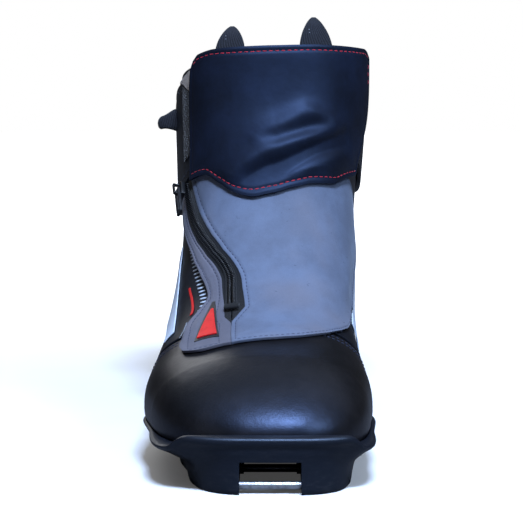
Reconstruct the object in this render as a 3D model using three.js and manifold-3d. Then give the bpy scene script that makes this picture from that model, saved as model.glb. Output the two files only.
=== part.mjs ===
// Cross country ski boot, right foot. Millimetres, +Z up, toe towards -Y, medial side towards +X.
// Every layer of the boot is a patch of one smooth last surface, pushed in or out along its normal.
import * as THREE from "three";
import { mergeVertices } from "three/addons/utils/BufferGeometryUtils.js";
import Module from "manifold-3d";

const wasm = await Module();
wasm.setup();

// ---- driving dimensions ----
const LAST_LENGTH = 286.5;        // upper, from toe tip to back of heel
const LAST_WIDTH = 109.5;         // upper, across the ball
const SHAFT_HEIGHT = 194;         // top of the shaft above the ground, at the front
const SOLE_UNDER_FOOT = 14;       // from the ground to the underside of the upper
const GAP = 0.3;                  // clearance between touching pieces
const EASE = 0.6;                 // further room between curved layers

const TOE_BUMPER_REACH = 6;       // sole in front of the upper
const HEEL_REACH = 5.5;           // sole behind the upper
const TOE_RIM = 27.5;             // height of the toe bumper
const WING_RIM = 21.5;            // height of the cup beside the ball
const DIP_RIM = 19;               // height of the cup where it dips
const HEEL_RIM = 31;              // height of the heel cup
const LATERAL_TAPER = 18;         // how far the tread edge sits inside the cup edge at the ball
const MEDIAL_TAPER = 11.5;
const HEEL_TAPER = 5;             // the same at the heel
const ARCH_RISE = 3.5;            // waist of the sole above the ground

const GROOVE_WIDTH = 25;          // guide groove along the sole
const GROOVE_DEPTH = 7.5;
const LUG_GROOVE = 4;             // width of the cross grooves
const LUG_DEPTH = 3;
const LUG_PITCH = 13;
const PAD_THICKNESS = 3.6;        // soft tread pads let into the sole
const PAD_WIDTH = 15;

const WINDOW_WIDTH = 28.4;        // opening in the toe for the binding
const PLATE_WALL = 3;             // side walls of the binding plate
const PLATE_ROOF = 2;             // roof of the binding plate
const PLATE_LENGTH = 43;
const PLATE_SETBACK = 5.2;        // plate behind the front of the sole
const PLATE_COVER = 0.9;          // rubber between the plate and the upper
const BAR_RADIUS = 1.95;          // steel binding bars
const BAR_HEIGHT = 3.9;
const BAR_SPACING = 36;
const BAR_SETBACK = 2.6;          // front bar behind the front of the plate

const SHELL = 2;                  // thickness of the outer upper
const STIFFENER = 0.9;            // toe puff and heel counter
const LINER = 4.6;                // padded inner bootie
const FOOTBED = 3.4;
const COVER = 1.6;                // lace cover and its side panel
const COVER_LIFT = 2.4;           // space under the lace cover for the lace
const CUFF = 2.3;                 // ankle cuff
const BACKSTAY = 1.4;             // strip over the seam at the heel
const PATCH = 0.6;                // hook and loop patches
const FLAP = 2;                   // cuff flap
const TAPE = 0.9;                 // zip tapes
const COIL_WIDTH = 4.4;
const COIL_HEIGHT = 1.6;
const LACE_RADIUS = 0.9;
const LOOP_WIDTH = 15;            // webbing of the pull loops
const LOOP_THICKNESS = 1.6;
const LOOP_GAP = 6.4;             // finger gap inside a pull loop
const TRIM = 0.7;                 // thin sewn or printed trims

// Depth of each layer, measured outwards from the last surface.
const STIFFENER_OUT = -SHELL - GAP - 0.3 * EASE;
const LINER_OUT = STIFFENER_OUT - STIFFENER - GAP - 2 * EASE;
const LINER_IN = LINER_OUT - LINER;
const CUFF_IN = GAP + 0.3 * EASE;
const CUFF_OUT = CUFF_IN + CUFF;
const COVER_REST = GAP + 0.5 * EASE;
const FLAP_IN = COVER_REST + COVER_LIFT + COVER + 0.5;
const FLAP_OUT = FLAP_IN + FLAP;

// ---- the last ----
// One row per station along the boot, for a sample last of SAMPLE_LENGTH x SAMPLE_WIDTH x SAMPLE_HEIGHT:
// top y, top z, bottom y, bottom z, lateral half width, medial half width, centre x,
// share of the height below the widest point, roundness above it, roundness below it.
const SAMPLE_LENGTH = 286.5;
const SAMPLE_WIDTH = 109.5;
const SAMPLE_HEIGHT = 180;
const STATIONS = [
  [-100, 43, -100, 0, 58, 45.5, 2, 0.7, 2.3, 3.4],
  [-76, 47.5, -74, 0, 62.5, 47, 2, 0.7, 2.3, 3.4],
  [-49, 55, -42, 0, 60, 44.5, 2, 0.68, 2.3, 3.4],
  [-26, 68, -5, 0, 55, 42, 1.5, 0.64, 2.35, 3.4],
  [-8, 87, 42, 1, 50.5, 41.5, 1, 0.58, 2.4, 3.2],
  [4, 107.5, 98, 4, 48, 42.5, 1, 0.54, 2.5, 2.9],
  [11, 128, 142, 20, 47, 42.5, 1, 0.52, 2.6, 2.6],
  [16, 146, 143.5, 66, 48, 44, 1.5, 0.5, 2.6, 2.4],
  [19, 163, 137, 112, 48.5, 46, 1.5, 0.5, 2.6, 2.3],
  [21, 180, 133, 156, 47.5, 46.3, 1.5, 0.5, 2.6, 2.3],
];
const TOP_V = 12;                 // station number of the last row; the first row is number 3
const CAP_V = 3;                  // stations below this number close the toe
const TOE_TIP_Y = -143;           // toe tip of the sample last
const TOE_TIP_Z = 11;
const TOE_START = { topZ: 32, lowZ: 0, lateral: 47, medial: 40, midX: 3 };
const TOE_ROUND = { width: 2.6, top: 2, low: 3 };

const gradeY = LAST_LENGTH / SAMPLE_LENGTH;
const gradeX = LAST_WIDTH / SAMPLE_WIDTH;
const gradeZ = (SHAFT_HEIGHT - SOLE_UNDER_FOOT) / SAMPLE_HEIGHT;
const LAST = STATIONS.map((row) => ({
  topY: row[0] * gradeY,
  topZ: row[1] * gradeZ + SOLE_UNDER_FOOT,
  lowY: row[2] * gradeY,
  lowZ: row[3] * gradeZ + SOLE_UNDER_FOOT,
  lateral: row[4] * gradeX,
  medial: row[5] * gradeX,
  midX: row[6] * gradeX,
  widest: row[7],
  roundTop: row[8],
  roundLow: row[9],
}));
const LAST_KEYS = Object.keys(LAST[0]);
const toeTip = { y: TOE_TIP_Y * gradeY, z: TOE_TIP_Z * gradeZ + SOLE_UNDER_FOOT };
const toeStart = {
  topZ: TOE_START.topZ * gradeZ + SOLE_UNDER_FOOT,
  lowZ: TOE_START.lowZ * gradeZ + SOLE_UNDER_FOOT,
  lateral: TOE_START.lateral * gradeX,
  medial: TOE_START.medial * gradeX,
  midX: TOE_START.midX * gradeX,
};

const clamp = (x, low, high) => Math.min(Math.max(x, low), high);
const mix = (from, to, share) => from + (to - from) * share;
const smooth = (x) => {
  const s = clamp(x, 0, 1);
  return s * s * (3 - 2 * s);
};
const degrees = (angle) => (angle * Math.PI) / 180;
const bulge = (c, power) => (1 - c ** power) ** (1 / power);

function catmullRom(p0, p1, p2, p3, t) {
  const a = 2 * p1;
  const b = (p2 - p0) * t;
  const c = (2 * p0 - 5 * p1 + 4 * p2 - p3) * t * t;
  const d = (3 * p1 - 3 * p2 + p3 - p0) * t * t * t;
  return 0.5 * (a + b + c + d);
}

// A smooth curve through a few [x, y] points with x rising, held flat beyond its ends.
function curve(points) {
  return (x) => {
    if (x <= points[0][0]) return points[0][1];
    const last = points.length - 1;
    if (x >= points[last][0]) return points[last][1];
    const i = points.findIndex((p, k) => x < points[k + 1][0]);
    const [x1, y1] = points[i];
    const [x2, y2] = points[i + 1];
    const y0 = i > 0 ? points[i - 1][1] : 2 * y1 - y2;
    const y3 = i + 2 <= last ? points[i + 2][1] : 2 * y2 - y1;
    return catmullRom(y0, y1, y2, y3, (x - x1) / (x2 - x1));
  };
}

// The last's cross-section at station v: a plain object with the keys of LAST.
function station(v) {
  if (v < CAP_V) return toeStation(Math.max(v, 0));
  const u = Math.min(v, TOP_V) - CAP_V;
  const i = Math.min(Math.floor(u), LAST.length - 2);
  const t = u - i;
  const section = {};
  for (const key of LAST_KEYS) {
    const p1 = LAST[i][key];
    const p2 = LAST[i + 1][key];
    const p0 = i > 0 ? LAST[i - 1][key] : 2 * p1 - p2;
    const p3 = i + 2 < LAST.length ? LAST[i + 2][key] : 2 * p2 - p1;
    section[key] = catmullRom(p0, p1, p2, p3, t) + Math.max(v - TOP_V, 0) * (p2 - p1);
  }
  return section;
}

function toeStation(v) {
  const cap = LAST[0];
  const c = Math.cos((Math.PI * v) / (2 * CAP_V));
  const trend = (key) => mix(toeStart[key], cap[key], 1 - c);
  const y = mix(cap.topY, toeTip.y, c);
  return {
    ...cap,
    topY: y,
    lowY: y,
    topZ: mix(toeTip.z, trend("topZ"), bulge(c, TOE_ROUND.top)),
    lowZ: mix(toeTip.z, trend("lowZ"), bulge(c, TOE_ROUND.low)),
    lateral: trend("lateral") * bulge(c, TOE_ROUND.width),
    medial: trend("medial") * bulge(c, TOE_ROUND.width),
    midX: trend("midX"),
  };
}

// A point of the last: v runs from 0 at the toe tip to 12 at the top of the shaft; a is the angle in
// degrees round the section, 0 on top or in front, + medial, - lateral, 180 underneath or behind.
function lastPoint(v, a) {
  const s = station(v);
  const sine = Math.sin(degrees(a));
  const cosine = Math.cos(degrees(a));
  const power = 2 / (cosine > 0 ? s.roundTop : s.roundLow);
  const across = Math.sign(sine) * Math.abs(sine) ** power;
  const rise = Math.abs(cosine) ** power;
  const t = cosine > 0 ? s.widest * (1 - rise) : s.widest + (1 - s.widest) * rise;
  const half = sine > 0 ? s.medial : s.lateral;
  return new THREE.Vector3(s.midX + half * across, mix(s.topY, s.lowY, t), mix(s.topZ, s.lowZ, t));
}

function lastNormal(v, a) {
  const along = lastPoint(Math.max(v + 0.02, 0.05), a).sub(lastPoint(Math.max(v - 0.02, 0.015), a));
  const w = Math.max(v, 0.03);
  const around = lastPoint(w, a + 0.8).sub(lastPoint(w, a - 0.8));
  return around.cross(along).normalize();
}

// A point at depth t outwards from the last.
function onLast(v, a, t) {
  if (v < 1e-6) return new THREE.Vector3(toeStart.midX, toeTip.y - t, toeTip.z);
  return lastPoint(v, a).addScaledVector(lastNormal(v, a), t);
}

// ---- solids ----
function closedGeometry(points, faces) {
  const raw = new THREE.BufferGeometry();
  raw.setAttribute("position", new THREE.Float32BufferAttribute(points.flatMap((p) => [p.x, p.y, p.z]), 3));
  raw.setIndex(faces.flat());
  return cleaned(raw);
}

// Welds a geometry's corners, drops its collapsed triangles and turns it to face outwards.
function cleaned(source) {
  source.deleteAttribute("normal");
  source.deleteAttribute("uv");
  const geometry = mergeVertices(source, 1e-4);
  const index = geometry.getIndex().array;
  const position = geometry.getAttribute("position");
  const corner = (i) => new THREE.Vector3().fromBufferAttribute(position, i);
  const kept = [];
  let volume = 0;
  for (let i = 0; i < index.length; i += 3) {
    const [a, b, c] = [index[i], index[i + 1], index[i + 2]];
    if (a === b || b === c || c === a) continue;
    kept.push(a, b, c);
    volume += corner(a).dot(corner(b).cross(corner(c)));
  }
  if (volume < 0) kept.reverse();
  geometry.setIndex(kept);
  return geometry;
}

function solid(geometry) {
  const closed = cleaned(geometry.index ? geometry.clone() : geometry);
  const vertProperties = Float32Array.from(closed.getAttribute("position").array);
  const triVerts = Uint32Array.from(closed.getIndex().array);
  return new wasm.Manifold(new wasm.Mesh({ numProp: 3, vertProperties, triVerts }));
}

function fromSolid(body) {
  const mesh = body.getMesh();
  const geometry = new THREE.BufferGeometry();
  geometry.setAttribute("position", new THREE.Float32BufferAttribute(mesh.vertProperties, 3));
  geometry.setIndex(Array.from(mesh.triVerts));
  return geometry;
}

const value = (x, ...at) => (typeof x === "function" ? x(...at) : x);

// Rows lie closer together where the heel turns: rowCount adds up their density from the toe.
const HEEL_TURN_V = 8.85;
const ROW_STEP = 0.02;
const rowDensity = (v) => 1 + 2.4 * smooth(1 - Math.abs(v - HEEL_TURN_V) / 0.9);
const rowCount = [0];
for (let v = 0; v < TOP_V + 2; v += ROW_STEP) rowCount.push(rowCount.at(-1) + ROW_STEP * rowDensity(v));
function countTo(v) {
  const i = Math.floor(v / ROW_STEP);
  return mix(rowCount[i], rowCount[i + 1], v / ROW_STEP - i);
}
function rowAt(from, to, share) {
  const wanted = mix(countTo(from), countTo(to), share);
  const i = Math.max(rowCount.findIndex((count) => count >= wanted), 1);
  return ROW_STEP * (i - 1 + (wanted - rowCount[i - 1]) / (rowCount[i] - rowCount[i - 1]));
}

// A grid of [v, a] places. The v limits may depend on a, and the a limits on v, so each place is
// found in a few rounds.
function patchGrid({ v, a, steps }) {
  const [rows, columns] = steps;
  const midA = (value(a[0], value(v[0], 0)) + value(a[1], value(v[0], 0))) / 2;
  const grid = [];
  for (let i = 0; i <= rows; i += 1) {
    const row = [];
    for (let j = 0; j <= columns; j += 1) {
      let at = rowAt(value(v[0], midA), value(v[1], midA), i / rows);
      let angle = mix(value(a[0], at), value(a[1], at), j / columns);
      for (let round = 0; round < 8; round += 1) {
        at = mix(at, rowAt(value(v[0], angle), value(v[1], angle), i / rows), 0.7);
        angle = mix(value(a[0], at), value(a[1], at), j / columns);
      }
      row.push([rowAt(value(v[0], angle), value(v[1], angle), i / rows), angle]);
    }
    grid.push(row);
  }
  return grid;
}

// A closed plate over a patch of the last, between the depths t[0] and t[1].
function layer(patch) {
  const grid = patchGrid(patch);
  const [rows, columns] = patch.steps;
  const points = [];
  for (const depth of patch.t) {
    for (const [v, a] of grid.flat()) points.push(onLast(v, a, value(depth, v, a)));
  }
  const half = (rows + 1) * (columns + 1);
  const inner = (i, j) => i * (columns + 1) + j;
  const outer = (i, j) => half + inner(i, j);
  const faces = [];
  const quad = (p, q, r, s) => faces.push([p, q, r], [p, r, s]);
  for (let i = 0; i < rows; i += 1) {
    for (let j = 0; j < columns; j += 1) {
      quad(outer(i, j), outer(i, j + 1), outer(i + 1, j + 1), outer(i + 1, j));
      quad(inner(i, j), inner(i + 1, j), inner(i + 1, j + 1), inner(i, j + 1));
    }
  }
  for (let j = 0; j < columns; j += 1) {
    quad(inner(0, j), inner(0, j + 1), outer(0, j + 1), outer(0, j));
    quad(inner(rows, j + 1), inner(rows, j), outer(rows, j), outer(rows, j + 1));
  }
  for (let i = 0; i < rows; i += 1) {
    quad(inner(i + 1, 0), inner(i, 0), outer(i, 0), outer(i + 1, 0));
    quad(inner(i, columns), inner(i + 1, columns), outer(i + 1, columns), outer(i, columns));
  }
  return closedGeometry(points, faces);
}

// The whole last at depth t, from the toe to station topV, closed by a flat fan at the top.
function plug(t, topV, rows, columns) {
  const points = [];
  const faces = [];
  for (let i = 0; i <= rows; i += 1) {
    const v = rowAt(0, topV, i / rows);
    for (let j = 0; j < columns; j += 1) points.push(onLast(v, (360 * j) / columns - 180, t));
  }
  const at = (i, j) => i * columns + (j % columns);
  const lid = new THREE.Vector3();
  for (let j = 0; j < columns; j += 1) lid.addScaledVector(points[at(rows, j)], 1 / columns);
  points.push(lid);
  for (let j = 0; j < columns; j += 1) {
    for (let i = 0; i < rows; i += 1) {
      faces.push([at(i, j), at(i, j + 1), at(i + 1, j + 1)], [at(i, j), at(i + 1, j + 1), at(i + 1, j)]);
    }
    faces.push([at(rows, j), at(rows, j + 1), points.length - 1]);
  }
  return solid(closedGeometry(points, faces));
}

// A box between two corners.
function block(low, high) {
  const size = high.map((x, i) => x - low[i]);
  const box = new THREE.BoxGeometry(...size);
  box.translate(...low.map((x, i) => x + size[i] / 2));
  return solid(box);
}

// An outline of [y, z] points, given thickness across the boot between two x values.
function sideExtrusion(outline, fromX, toX) {
  const shape = new THREE.Shape(outline.map(([y, z]) => new THREE.Vector2(y, z)));
  const geometry = new THREE.ExtrudeGeometry(shape, { depth: toX - fromX, bevelEnabled: false });
  // The outline's axes become +Y and +Z, and the thickness runs along +X.
  geometry.applyMatrix4(new THREE.Matrix4().set(0, 0, 1, fromX, 1, 0, 0, 0, 0, 1, 0, 0, 0, 0, 0, 1));
  return geometry;
}

function crossRod(radius, y, z, fromX, toX) {
  const rod = new THREE.CylinderGeometry(radius, radius, toX - fromX, 24);
  rod.rotateZ(Math.PI / 2);
  rod.translate((fromX + toX) / 2, y, z);
  return rod;
}

function cord(points, radius, steps) {
  const extrudePath = new THREE.CatmullRomCurve3(points);
  const section = new THREE.Shape();
  section.absarc(0, 0, radius, 0, 2 * Math.PI);
  return new THREE.ExtrudeGeometry(section, { steps, extrudePath, curveSegments: 4, bevelEnabled: false });
}

// ---- materials ----
function finish(color, roughness, metalness = 0) {
  return new THREE.MeshStandardMaterial({ color, roughness, metalness });
}
const leatherette = finish("#161d2b", 0.38);
const soleRubber = finish("#14161a", 0.62);
const padRubber = finish("#3a3d42", 0.75);
const greyNubuck = finish("#66778f", 0.8);
const browngrey = finish("#6a6772", 0.8);
const blackTextile = finish("#17181c", 0.85);
const lining = finish("#a8968a", 0.9);
const whitePanel = finish("#ccd8e6", 0.5);
const steel = finish("#b9bcc0", 0.28, 1);
const nylon = finish("#1c1d20", 0.45);
const redTrim = finish("#cc2026", 0.5);
const board = finish("#8b7c66", 0.9);

const boot = new THREE.Group();
function addPart(name, geometry, material, parent = boot) {
  const mesh = new THREE.Mesh(geometry, material);
  mesh.name = name;
  parent.add(mesh);
  return mesh;
}

// ---- sole ----
const capY = LAST[0].topY;
const toeY = toeTip.y - TOE_BUMPER_REACH;
const heelBackY = Math.max(...LAST.map((s) => s.lowY));
const heelY = heelBackY + HEEL_REACH;
const heelStartY = 90 * gradeY;
const LATERAL_EDGE = [[-100, 56.8], [-75, 60.8], [-45, 59], [-15, 54.5], [30, 49], [90, 46.5]];
const MEDIAL_EDGE = [[-100, 48.8], [-75, 50.2], [-45, 48], [-15, 45], [30, 43.4], [90, 45]];

const edgeCurve = (points) => curve(points.map(([y, x]) => [y * gradeY, x * gradeX]));
const lateralEdge = edgeCurve(LATERAL_EDGE);
const medialEdge = edgeCurve(MEDIAL_EDGE);
const rimHeight = curve([
  [toeY, TOE_RIM],
  [toeY + 7, TOE_RIM - 0.5],
  [toeY + 13, DIP_RIM + 2.5],
  [mix(toeY, capY, 0.6), WING_RIM - 1],
  [capY + 22, WING_RIM + 0.5],
  [capY + 45, DIP_RIM + 1],
  [capY + 85, DIP_RIM],
  [mix(capY, heelStartY, 0.75), DIP_RIM + 3],
  [heelStartY, HEEL_RIM - 3],
  [heelY - 15, HEEL_RIM],
  [heelY, HEEL_RIM],
]);
const taperCurve = (ball) => curve([
  [capY, ball],
  [capY + 60, ball - 2],
  [heelStartY - 70, HEEL_TAPER + 3],
  [heelStartY, HEEL_TAPER],
]);
const lateralTaper = taperCurve(LATERAL_TAPER);
const medialTaper = taperCurve(MEDIAL_TAPER);
const archStart = capY + 90;
const archEnd = heelStartY - 25;
const soleBottom = (y) => ARCH_RISE * smooth((y - archStart) / 22) * smooth((archEnd - y) / 22);

// Both edges of the sole at one place along it, inside the rim by a share of the taper plus a trim.
function soleSpot(place, share, trim) {
  const { y, c, end } = place;
  const endInset = 2.5 * share + trim;
  const roundness = end === "toe" ? bulge(c, 3.2) : end === "heel" ? bulge(c, 2.4) : 1;
  const shift = end === "toe" ? endInset * c : end === "heel" ? -endInset * c : 0;
  const mid = end === "toe" ? mix(0, toeStart.midX - 1, c) : 0;
  return {
    y: y + shift,
    lateral: mid - (lateralEdge(y) - share * lateralTaper(y) - trim) * roundness,
    medial: mid + (medialEdge(y) - share * medialTaper(y) - trim) * roundness,
  };
}

function solePlaces() {
  const places = [];
  const endSteps = 8;
  for (let i = 0; i < endSteps; i += 1) {
    const c = Math.cos(((Math.PI / 2) * i) / endSteps);
    places.push({ y: mix(capY, toeY, c), c, end: "toe" });
  }
  const bodySteps = 13;
  for (let i = 0; i <= bodySteps; i += 1) {
    places.push({ y: mix(capY, heelStartY, i / bodySteps), c: 0, end: "" });
  }
  for (let i = endSteps - 1; i >= 0; i -= 1) {
    const c = Math.cos(((Math.PI / 2) * i) / endSteps);
    places.push({ y: mix(heelStartY, heelY, c), c, end: "heel" });
  }
  return places;
}

function soleSection(place) {
  const rim = rimHeight(place.y);
  const bottom = soleBottom(place.y);
  const rings = [
    [rim, 0, 1.2],
    [rim - 1.2, 0, 0],
    [mix(bottom, rim, 0.76), 0.38, 0],
    [mix(bottom, rim, 0.58), 0.78, 0],
    [mix(bottom, rim, 0.2), 0.96, 0],
    [bottom, 1, 0.5],
  ];
  const lateral = rings.map(([z, share, trim]) => ({ z, ...soleSpot(place, share, trim) }));
  const left = lateral.map((r) => new THREE.Vector3(r.lateral, r.y, r.z));
  const right = lateral.map((r) => new THREE.Vector3(r.medial, r.y, r.z));
  return [...left, ...right.reverse()];
}

function soleBlank() {
  const sections = solePlaces().map(soleSection);
  const count = sections[0].length;
  const faces = [];
  for (let i = 0; i + 1 < sections.length; i += 1) {
    for (let k = 0; k < count; k += 1) {
      const [p, q] = [i * count + k, i * count + ((k + 1) % count)];
      faces.push([p, q, q + count], [p, q + count, p + count]);
    }
  }
  return solid(closedGeometry(sections.flat(), faces));
}

const plateFront = toeY + PLATE_SETBACK;
const plateBack = plateFront + PLATE_LENGTH;
const plateOutside = WINDOW_WIDTH / 2 + PLATE_WALL;
const frontBarY = plateFront + BAR_SETBACK;
const rearBarY = frontBarY + BAR_SPACING;

// Height of the upper's underside at a place along the toe.
function footUnderside(y) {
  const c = clamp((capY - y) / (capY - toeTip.y), 0, 1);
  return y < toeTip.y ? toeTip.z : station((2 * CAP_V * Math.acos(c)) / Math.PI).lowZ;
}
const plateTop = (y) => Math.min(footUnderside(y) - GAP - PLATE_COVER, SOLE_UNDER_FOOT + 3.6);

// The binding plate's side outline, grown by a margin, with its roof lowered by drop.
function plateOutline(margin, drop, low) {
  const front = plateFront - (drop ? 2 : 0) - margin;
  const back = plateBack + margin + (drop ? 2 : 0);
  const roof = [];
  const steps = 8;
  for (let i = 0; i <= steps; i += 1) {
    const y = mix(back, front, i / steps);
    roof.push([y, plateTop(clamp(y, plateFront, plateBack)) + margin - drop]);
  }
  return [[front, low], [back, low], ...roof];
}

function bindingPlate() {
  const outside = solid(sideExtrusion(plateOutline(0, 0, 0.6), -plateOutside, plateOutside));
  const inside = solid(sideExtrusion(plateOutline(0, PLATE_ROOF, -1), -WINDOW_WIDTH / 2, WINDOW_WIDTH / 2));
  let plate = outside.subtract(inside);
  for (const y of [frontBarY, rearBarY]) {
    const hole = crossRod(BAR_RADIUS + GAP, y, BAR_HEIGHT, -plateOutside - 1, plateOutside + 1);
    plate = plate.subtract(solid(hole));
  }
  return fromSolid(plate);
}

const padInnerX = GROOVE_WIDTH / 2 + 5;
const PAD_LUG_SHARE = 0.6;         // depth of the cross grooves in the pads, as a share of LUG_DEPTH
const forePad = { fromY: capY + 2 * GAP, toY: capY + 68 };
const heelPad = { fromY: heelStartY - 12, toY: heelY - 19 };

function lugGrooves() {
  const cuts = [];
  const stretches = [[capY - 28, capY + 84], [heelStartY - 10, heelY - 10]];
  for (const [from, to] of stretches) {
    for (let y = from; y <= to; y += LUG_PITCH) {
      cuts.push(block([-90, y, -1], [-plateOutside - 1.5, y + LUG_GROOVE, LUG_DEPTH]));
      cuts.push(block([plateOutside + 1.5, y, -1], [90, y + LUG_GROOVE, LUG_DEPTH]));
    }
  }
  return cuts;
}

// A tread pad, or with a margin the pocket that it sits in. Sides: -1 lateral, +1 medial.
function treadPad(side, pad, margin) {
  const xs = [side * (padInnerX - margin), side * (padInnerX + PAD_WIDTH + margin)].sort((p, q) => p - q);
  const low = [xs[0], pad.fromY - margin, margin ? -1 : 0];
  const high = [xs[1], pad.toY + margin, PAD_THICKNESS + margin];
  return block(low, high);
}

const SHANK = { v: [5.4, 8], a: [166, 194] };
function shank(margin) {
  const [fromA, toA] = SHANK.a;
  return layer({
    v: [SHANK.v[0] - margin * 0.06, SHANK.v[1] + margin * 0.03],
    a: [fromA - margin * 3, toA + margin * 3],
    t: [margin ? -1 : 2 * GAP, 2 * GAP + 1.8 + margin],
    steps: [12, 4],
  });
}

function outsole() {
  const groove = GROOVE_WIDTH / 2;
  const window = WINDOW_WIDTH / 2;
  const cuts = [
    plug(GAP + 0.25, 10.2, 28, 44),
    solid(sideExtrusion(plateOutline(GAP, 0, -1), -plateOutside - GAP, plateOutside + GAP)),
    block([-window, toeY - 5, -1], [window, plateFront + 1, plateTop(plateFront) - PLATE_ROOF]),
    block([-groove, plateBack - 1, -1], [groove, heelY - 26, GROOVE_DEPTH]),
    solid(shank(GAP)),
    treadPad(-1, forePad, GAP),
    treadPad(1, forePad, GAP),
    treadPad(-1, heelPad, GAP),
    treadPad(1, heelPad, GAP),
    ...lugGrooves(),
  ];
  return fromSolid(cuts.reduce((body, cut) => body.subtract(cut), soleBlank()));
}

function groovedPad(side, pad) {
  const drop = LUG_DEPTH * (PAD_LUG_SHARE - 1);
  const cuts = lugGrooves().map((cut) => cut.translate([0, 0, drop]));
  return fromSolid(cuts.reduce((body, cut) => body.subtract(cut), treadPad(side, pad, 0)));
}
const bindingBar = (y) => crossRod(BAR_RADIUS, y, BAR_HEIGHT, 0.4 - plateOutside, plateOutside - 0.4);

addPart("outsole", outsole(), soleRubber);
addPart("binding_plate", bindingPlate(), nylon);
addPart("front_binding_bar", bindingBar(frontBarY), steel);
addPart("rear_binding_bar", bindingBar(rearBarY), steel);
addPart("lateral_forefoot_tread", groovedPad(-1, forePad), padRubber);
addPart("medial_forefoot_tread", groovedPad(1, forePad), padRubber);
addPart("lateral_heel_tread", groovedPad(-1, heelPad), padRubber);
addPart("medial_heel_tread", groovedPad(1, heelPad), padRubber);
addPart("sole_shank", shank(0), steel);

// ---- upper ----
// The lasting margin is where the upper turns under the foot; the heel is wrapped all round.
const LASTING_ANGLE = 140;
const lastingAngle = (v) => mix(LASTING_ANGLE, 179.4, smooth((v - 7.6) / 1.2));
const lastingGap = (v) => mix(3, 8, smooth((v - 7.4) / 0.5));
const footbedAngle = (v) => mix(133, 150, smooth((v - 7) / 1.5));
const vampEdge = (a) => 4.5 + 1.6 * (a / LASTING_ANGLE) ** 2;
const throatAngle = (v) => 30 * smooth((v - 5.1) / 1.2) + 0.8 * Math.max(v - 7, 0) + 0.6;
const SEAM_V = 0.13;               // from the vamp's edge to the quarters
const QUARTER_TOP_V = 11.65;

addPart("insole_board", layer({
  v: [0.9, 8.35],
  a: [(v) => lastingAngle(v) + lastingGap(v), (v) => 360 - lastingAngle(v) - lastingGap(v)],
  t: [-SHELL, 0],
  steps: [20, 6],
}), board);
const footbedSheet = layer({
  v: [2.4, 8.5],
  a: [footbedAngle, (v) => 360 - footbedAngle(v)],
  t: [LINER_IN - 2 * EASE - FOOTBED, LINER_IN - 2 * EASE],
  steps: [18, 6],
});
// The footbed is trimmed to the room inside the bootie.
addPart("footbed", fromSolid(solid(footbedSheet).intersect(plug(LINER_IN - EASE, 10, 24, 32))), blackTextile);
addPart("toe_vamp", layer({
  v: [0, vampEdge],
  a: [-LASTING_ANGLE, LASTING_ANGLE],
  t: [-SHELL, 0],
  steps: [14, 30],
}), leatherette);
addPart("toe_puff", layer({
  v: [0, 2.2],
  a: [-108, 108],
  t: [STIFFENER_OUT - STIFFENER, STIFFENER_OUT],
  steps: [8, 20],
}), board);
for (const [side, name] of [[-1, "lateral"], [1, "medial"]]) {
  const near = (v) => side * throatAngle(v);
  const far = (v) => side * lastingAngle(v);
  addPart(`${name}_quarter`, layer({
    v: [(a) => vampEdge(clamp(a, -LASTING_ANGLE, LASTING_ANGLE)) + SEAM_V, QUARTER_TOP_V],
    a: side > 0 ? [near, far] : [far, near],
    t: [-SHELL, 0],
    steps: [17, 17],
  }), leatherette);
}
addPart("heel_counter", layer({
  v: [(a) => mix(8.72, 8.9, Math.abs(a - 180) / 70), 10.3],
  a: [112, 248],
  t: [STIFFENER_OUT - STIFFENER, STIFFENER_OUT],
  steps: [7, 14],
}), board);
addPart("backstay", layer({
  v: [9.35, QUARTER_TOP_V - 0.05],
  a: [174, 186],
  t: [GAP, GAP + BACKSTAY],
  steps: [14, 4],
}), leatherette);

// ---- inner bootie, collar and tongue ----
const tongueAngle = (v) => 20 * smooth((v - 5.2) / 1) + 1.2 * Math.max(v - 7, 0) + 1.8;
const COLLAR_V = 11.1;            // the padded collar starts here
const COLLAR_TOP_V = 11.78;
const TONGUE_TOP_V = 11.7;
const collarTop = (a) => COLLAR_TOP_V + 0.1 * (1 - Math.cos(degrees(a)));
function innerBootie() {
  const shell = plug(LINER_OUT, COLLAR_V, 22, 36);
  const hollow = plug(LINER_IN, COLLAR_V + 1.2, 20, 28);
  const throat = solid(layer({
    v: [5.3, COLLAR_V + 1],
    a: [(v) => -tongueAngle(v), tongueAngle],
    t: [LINER_IN - 6, LINER_OUT + 4],
    steps: [16, 4],
  }));
  return shell.subtract(hollow).subtract(throat);
}
// The bootie is sewn from four panels. Flat cuts part them: one above the sole of the foot, one in front
// of the instep and one down the middle of the heel.
const BOOTIE = { baseZ: 28, boxY: -38, middleX: 1.5 };
const FAR = 400;
const wholeBootie = innerBootie();
function addBootiePanel(name, low, high) {
  const piece = block(low.map((x) => x + GAP / 2), high.map((x) => x - GAP / 2));
  addPart(name, fromSolid(wholeBootie.intersect(piece)), lining);
}
const { baseZ, boxY, middleX } = BOOTIE;
addBootiePanel("bootie_base", [-FAR, -FAR, -FAR], [FAR, FAR, baseZ]);
addBootiePanel("bootie_toe_box", [-FAR, -FAR, baseZ], [FAR, boxY, FAR]);
addBootiePanel("lateral_bootie_panel", [-FAR, boxY, baseZ], [middleX, FAR, FAR]);
addBootiePanel("medial_bootie_panel", [middleX, boxY, baseZ], [FAR, FAR, FAR]);
const COLLAR_CROWN = 2.2;         // how far the padding bulges into the shaft
const collarShare = (v) => clamp((v - COLLAR_V) / (COLLAR_TOP_V - COLLAR_V), 0, 1);
addPart("collar_padding", layer({
  v: [(a) => COLLAR_V + 0.03 + 0.07 * smooth((Math.abs(a - 180) - 150) / -60), collarTop],
  a: [(v) => tongueAngle(v) + 1.2, (v) => 358.8 - tongueAngle(v)],
  t: [
    (v) => LINER_IN - COLLAR_CROWN * Math.sin(Math.PI * collarShare(v)),
    (v) => LINER_OUT - smooth((v - COLLAR_TOP_V + 0.4) / 0.4),
  ],
  steps: [5, 28],
}), lining);
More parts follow.
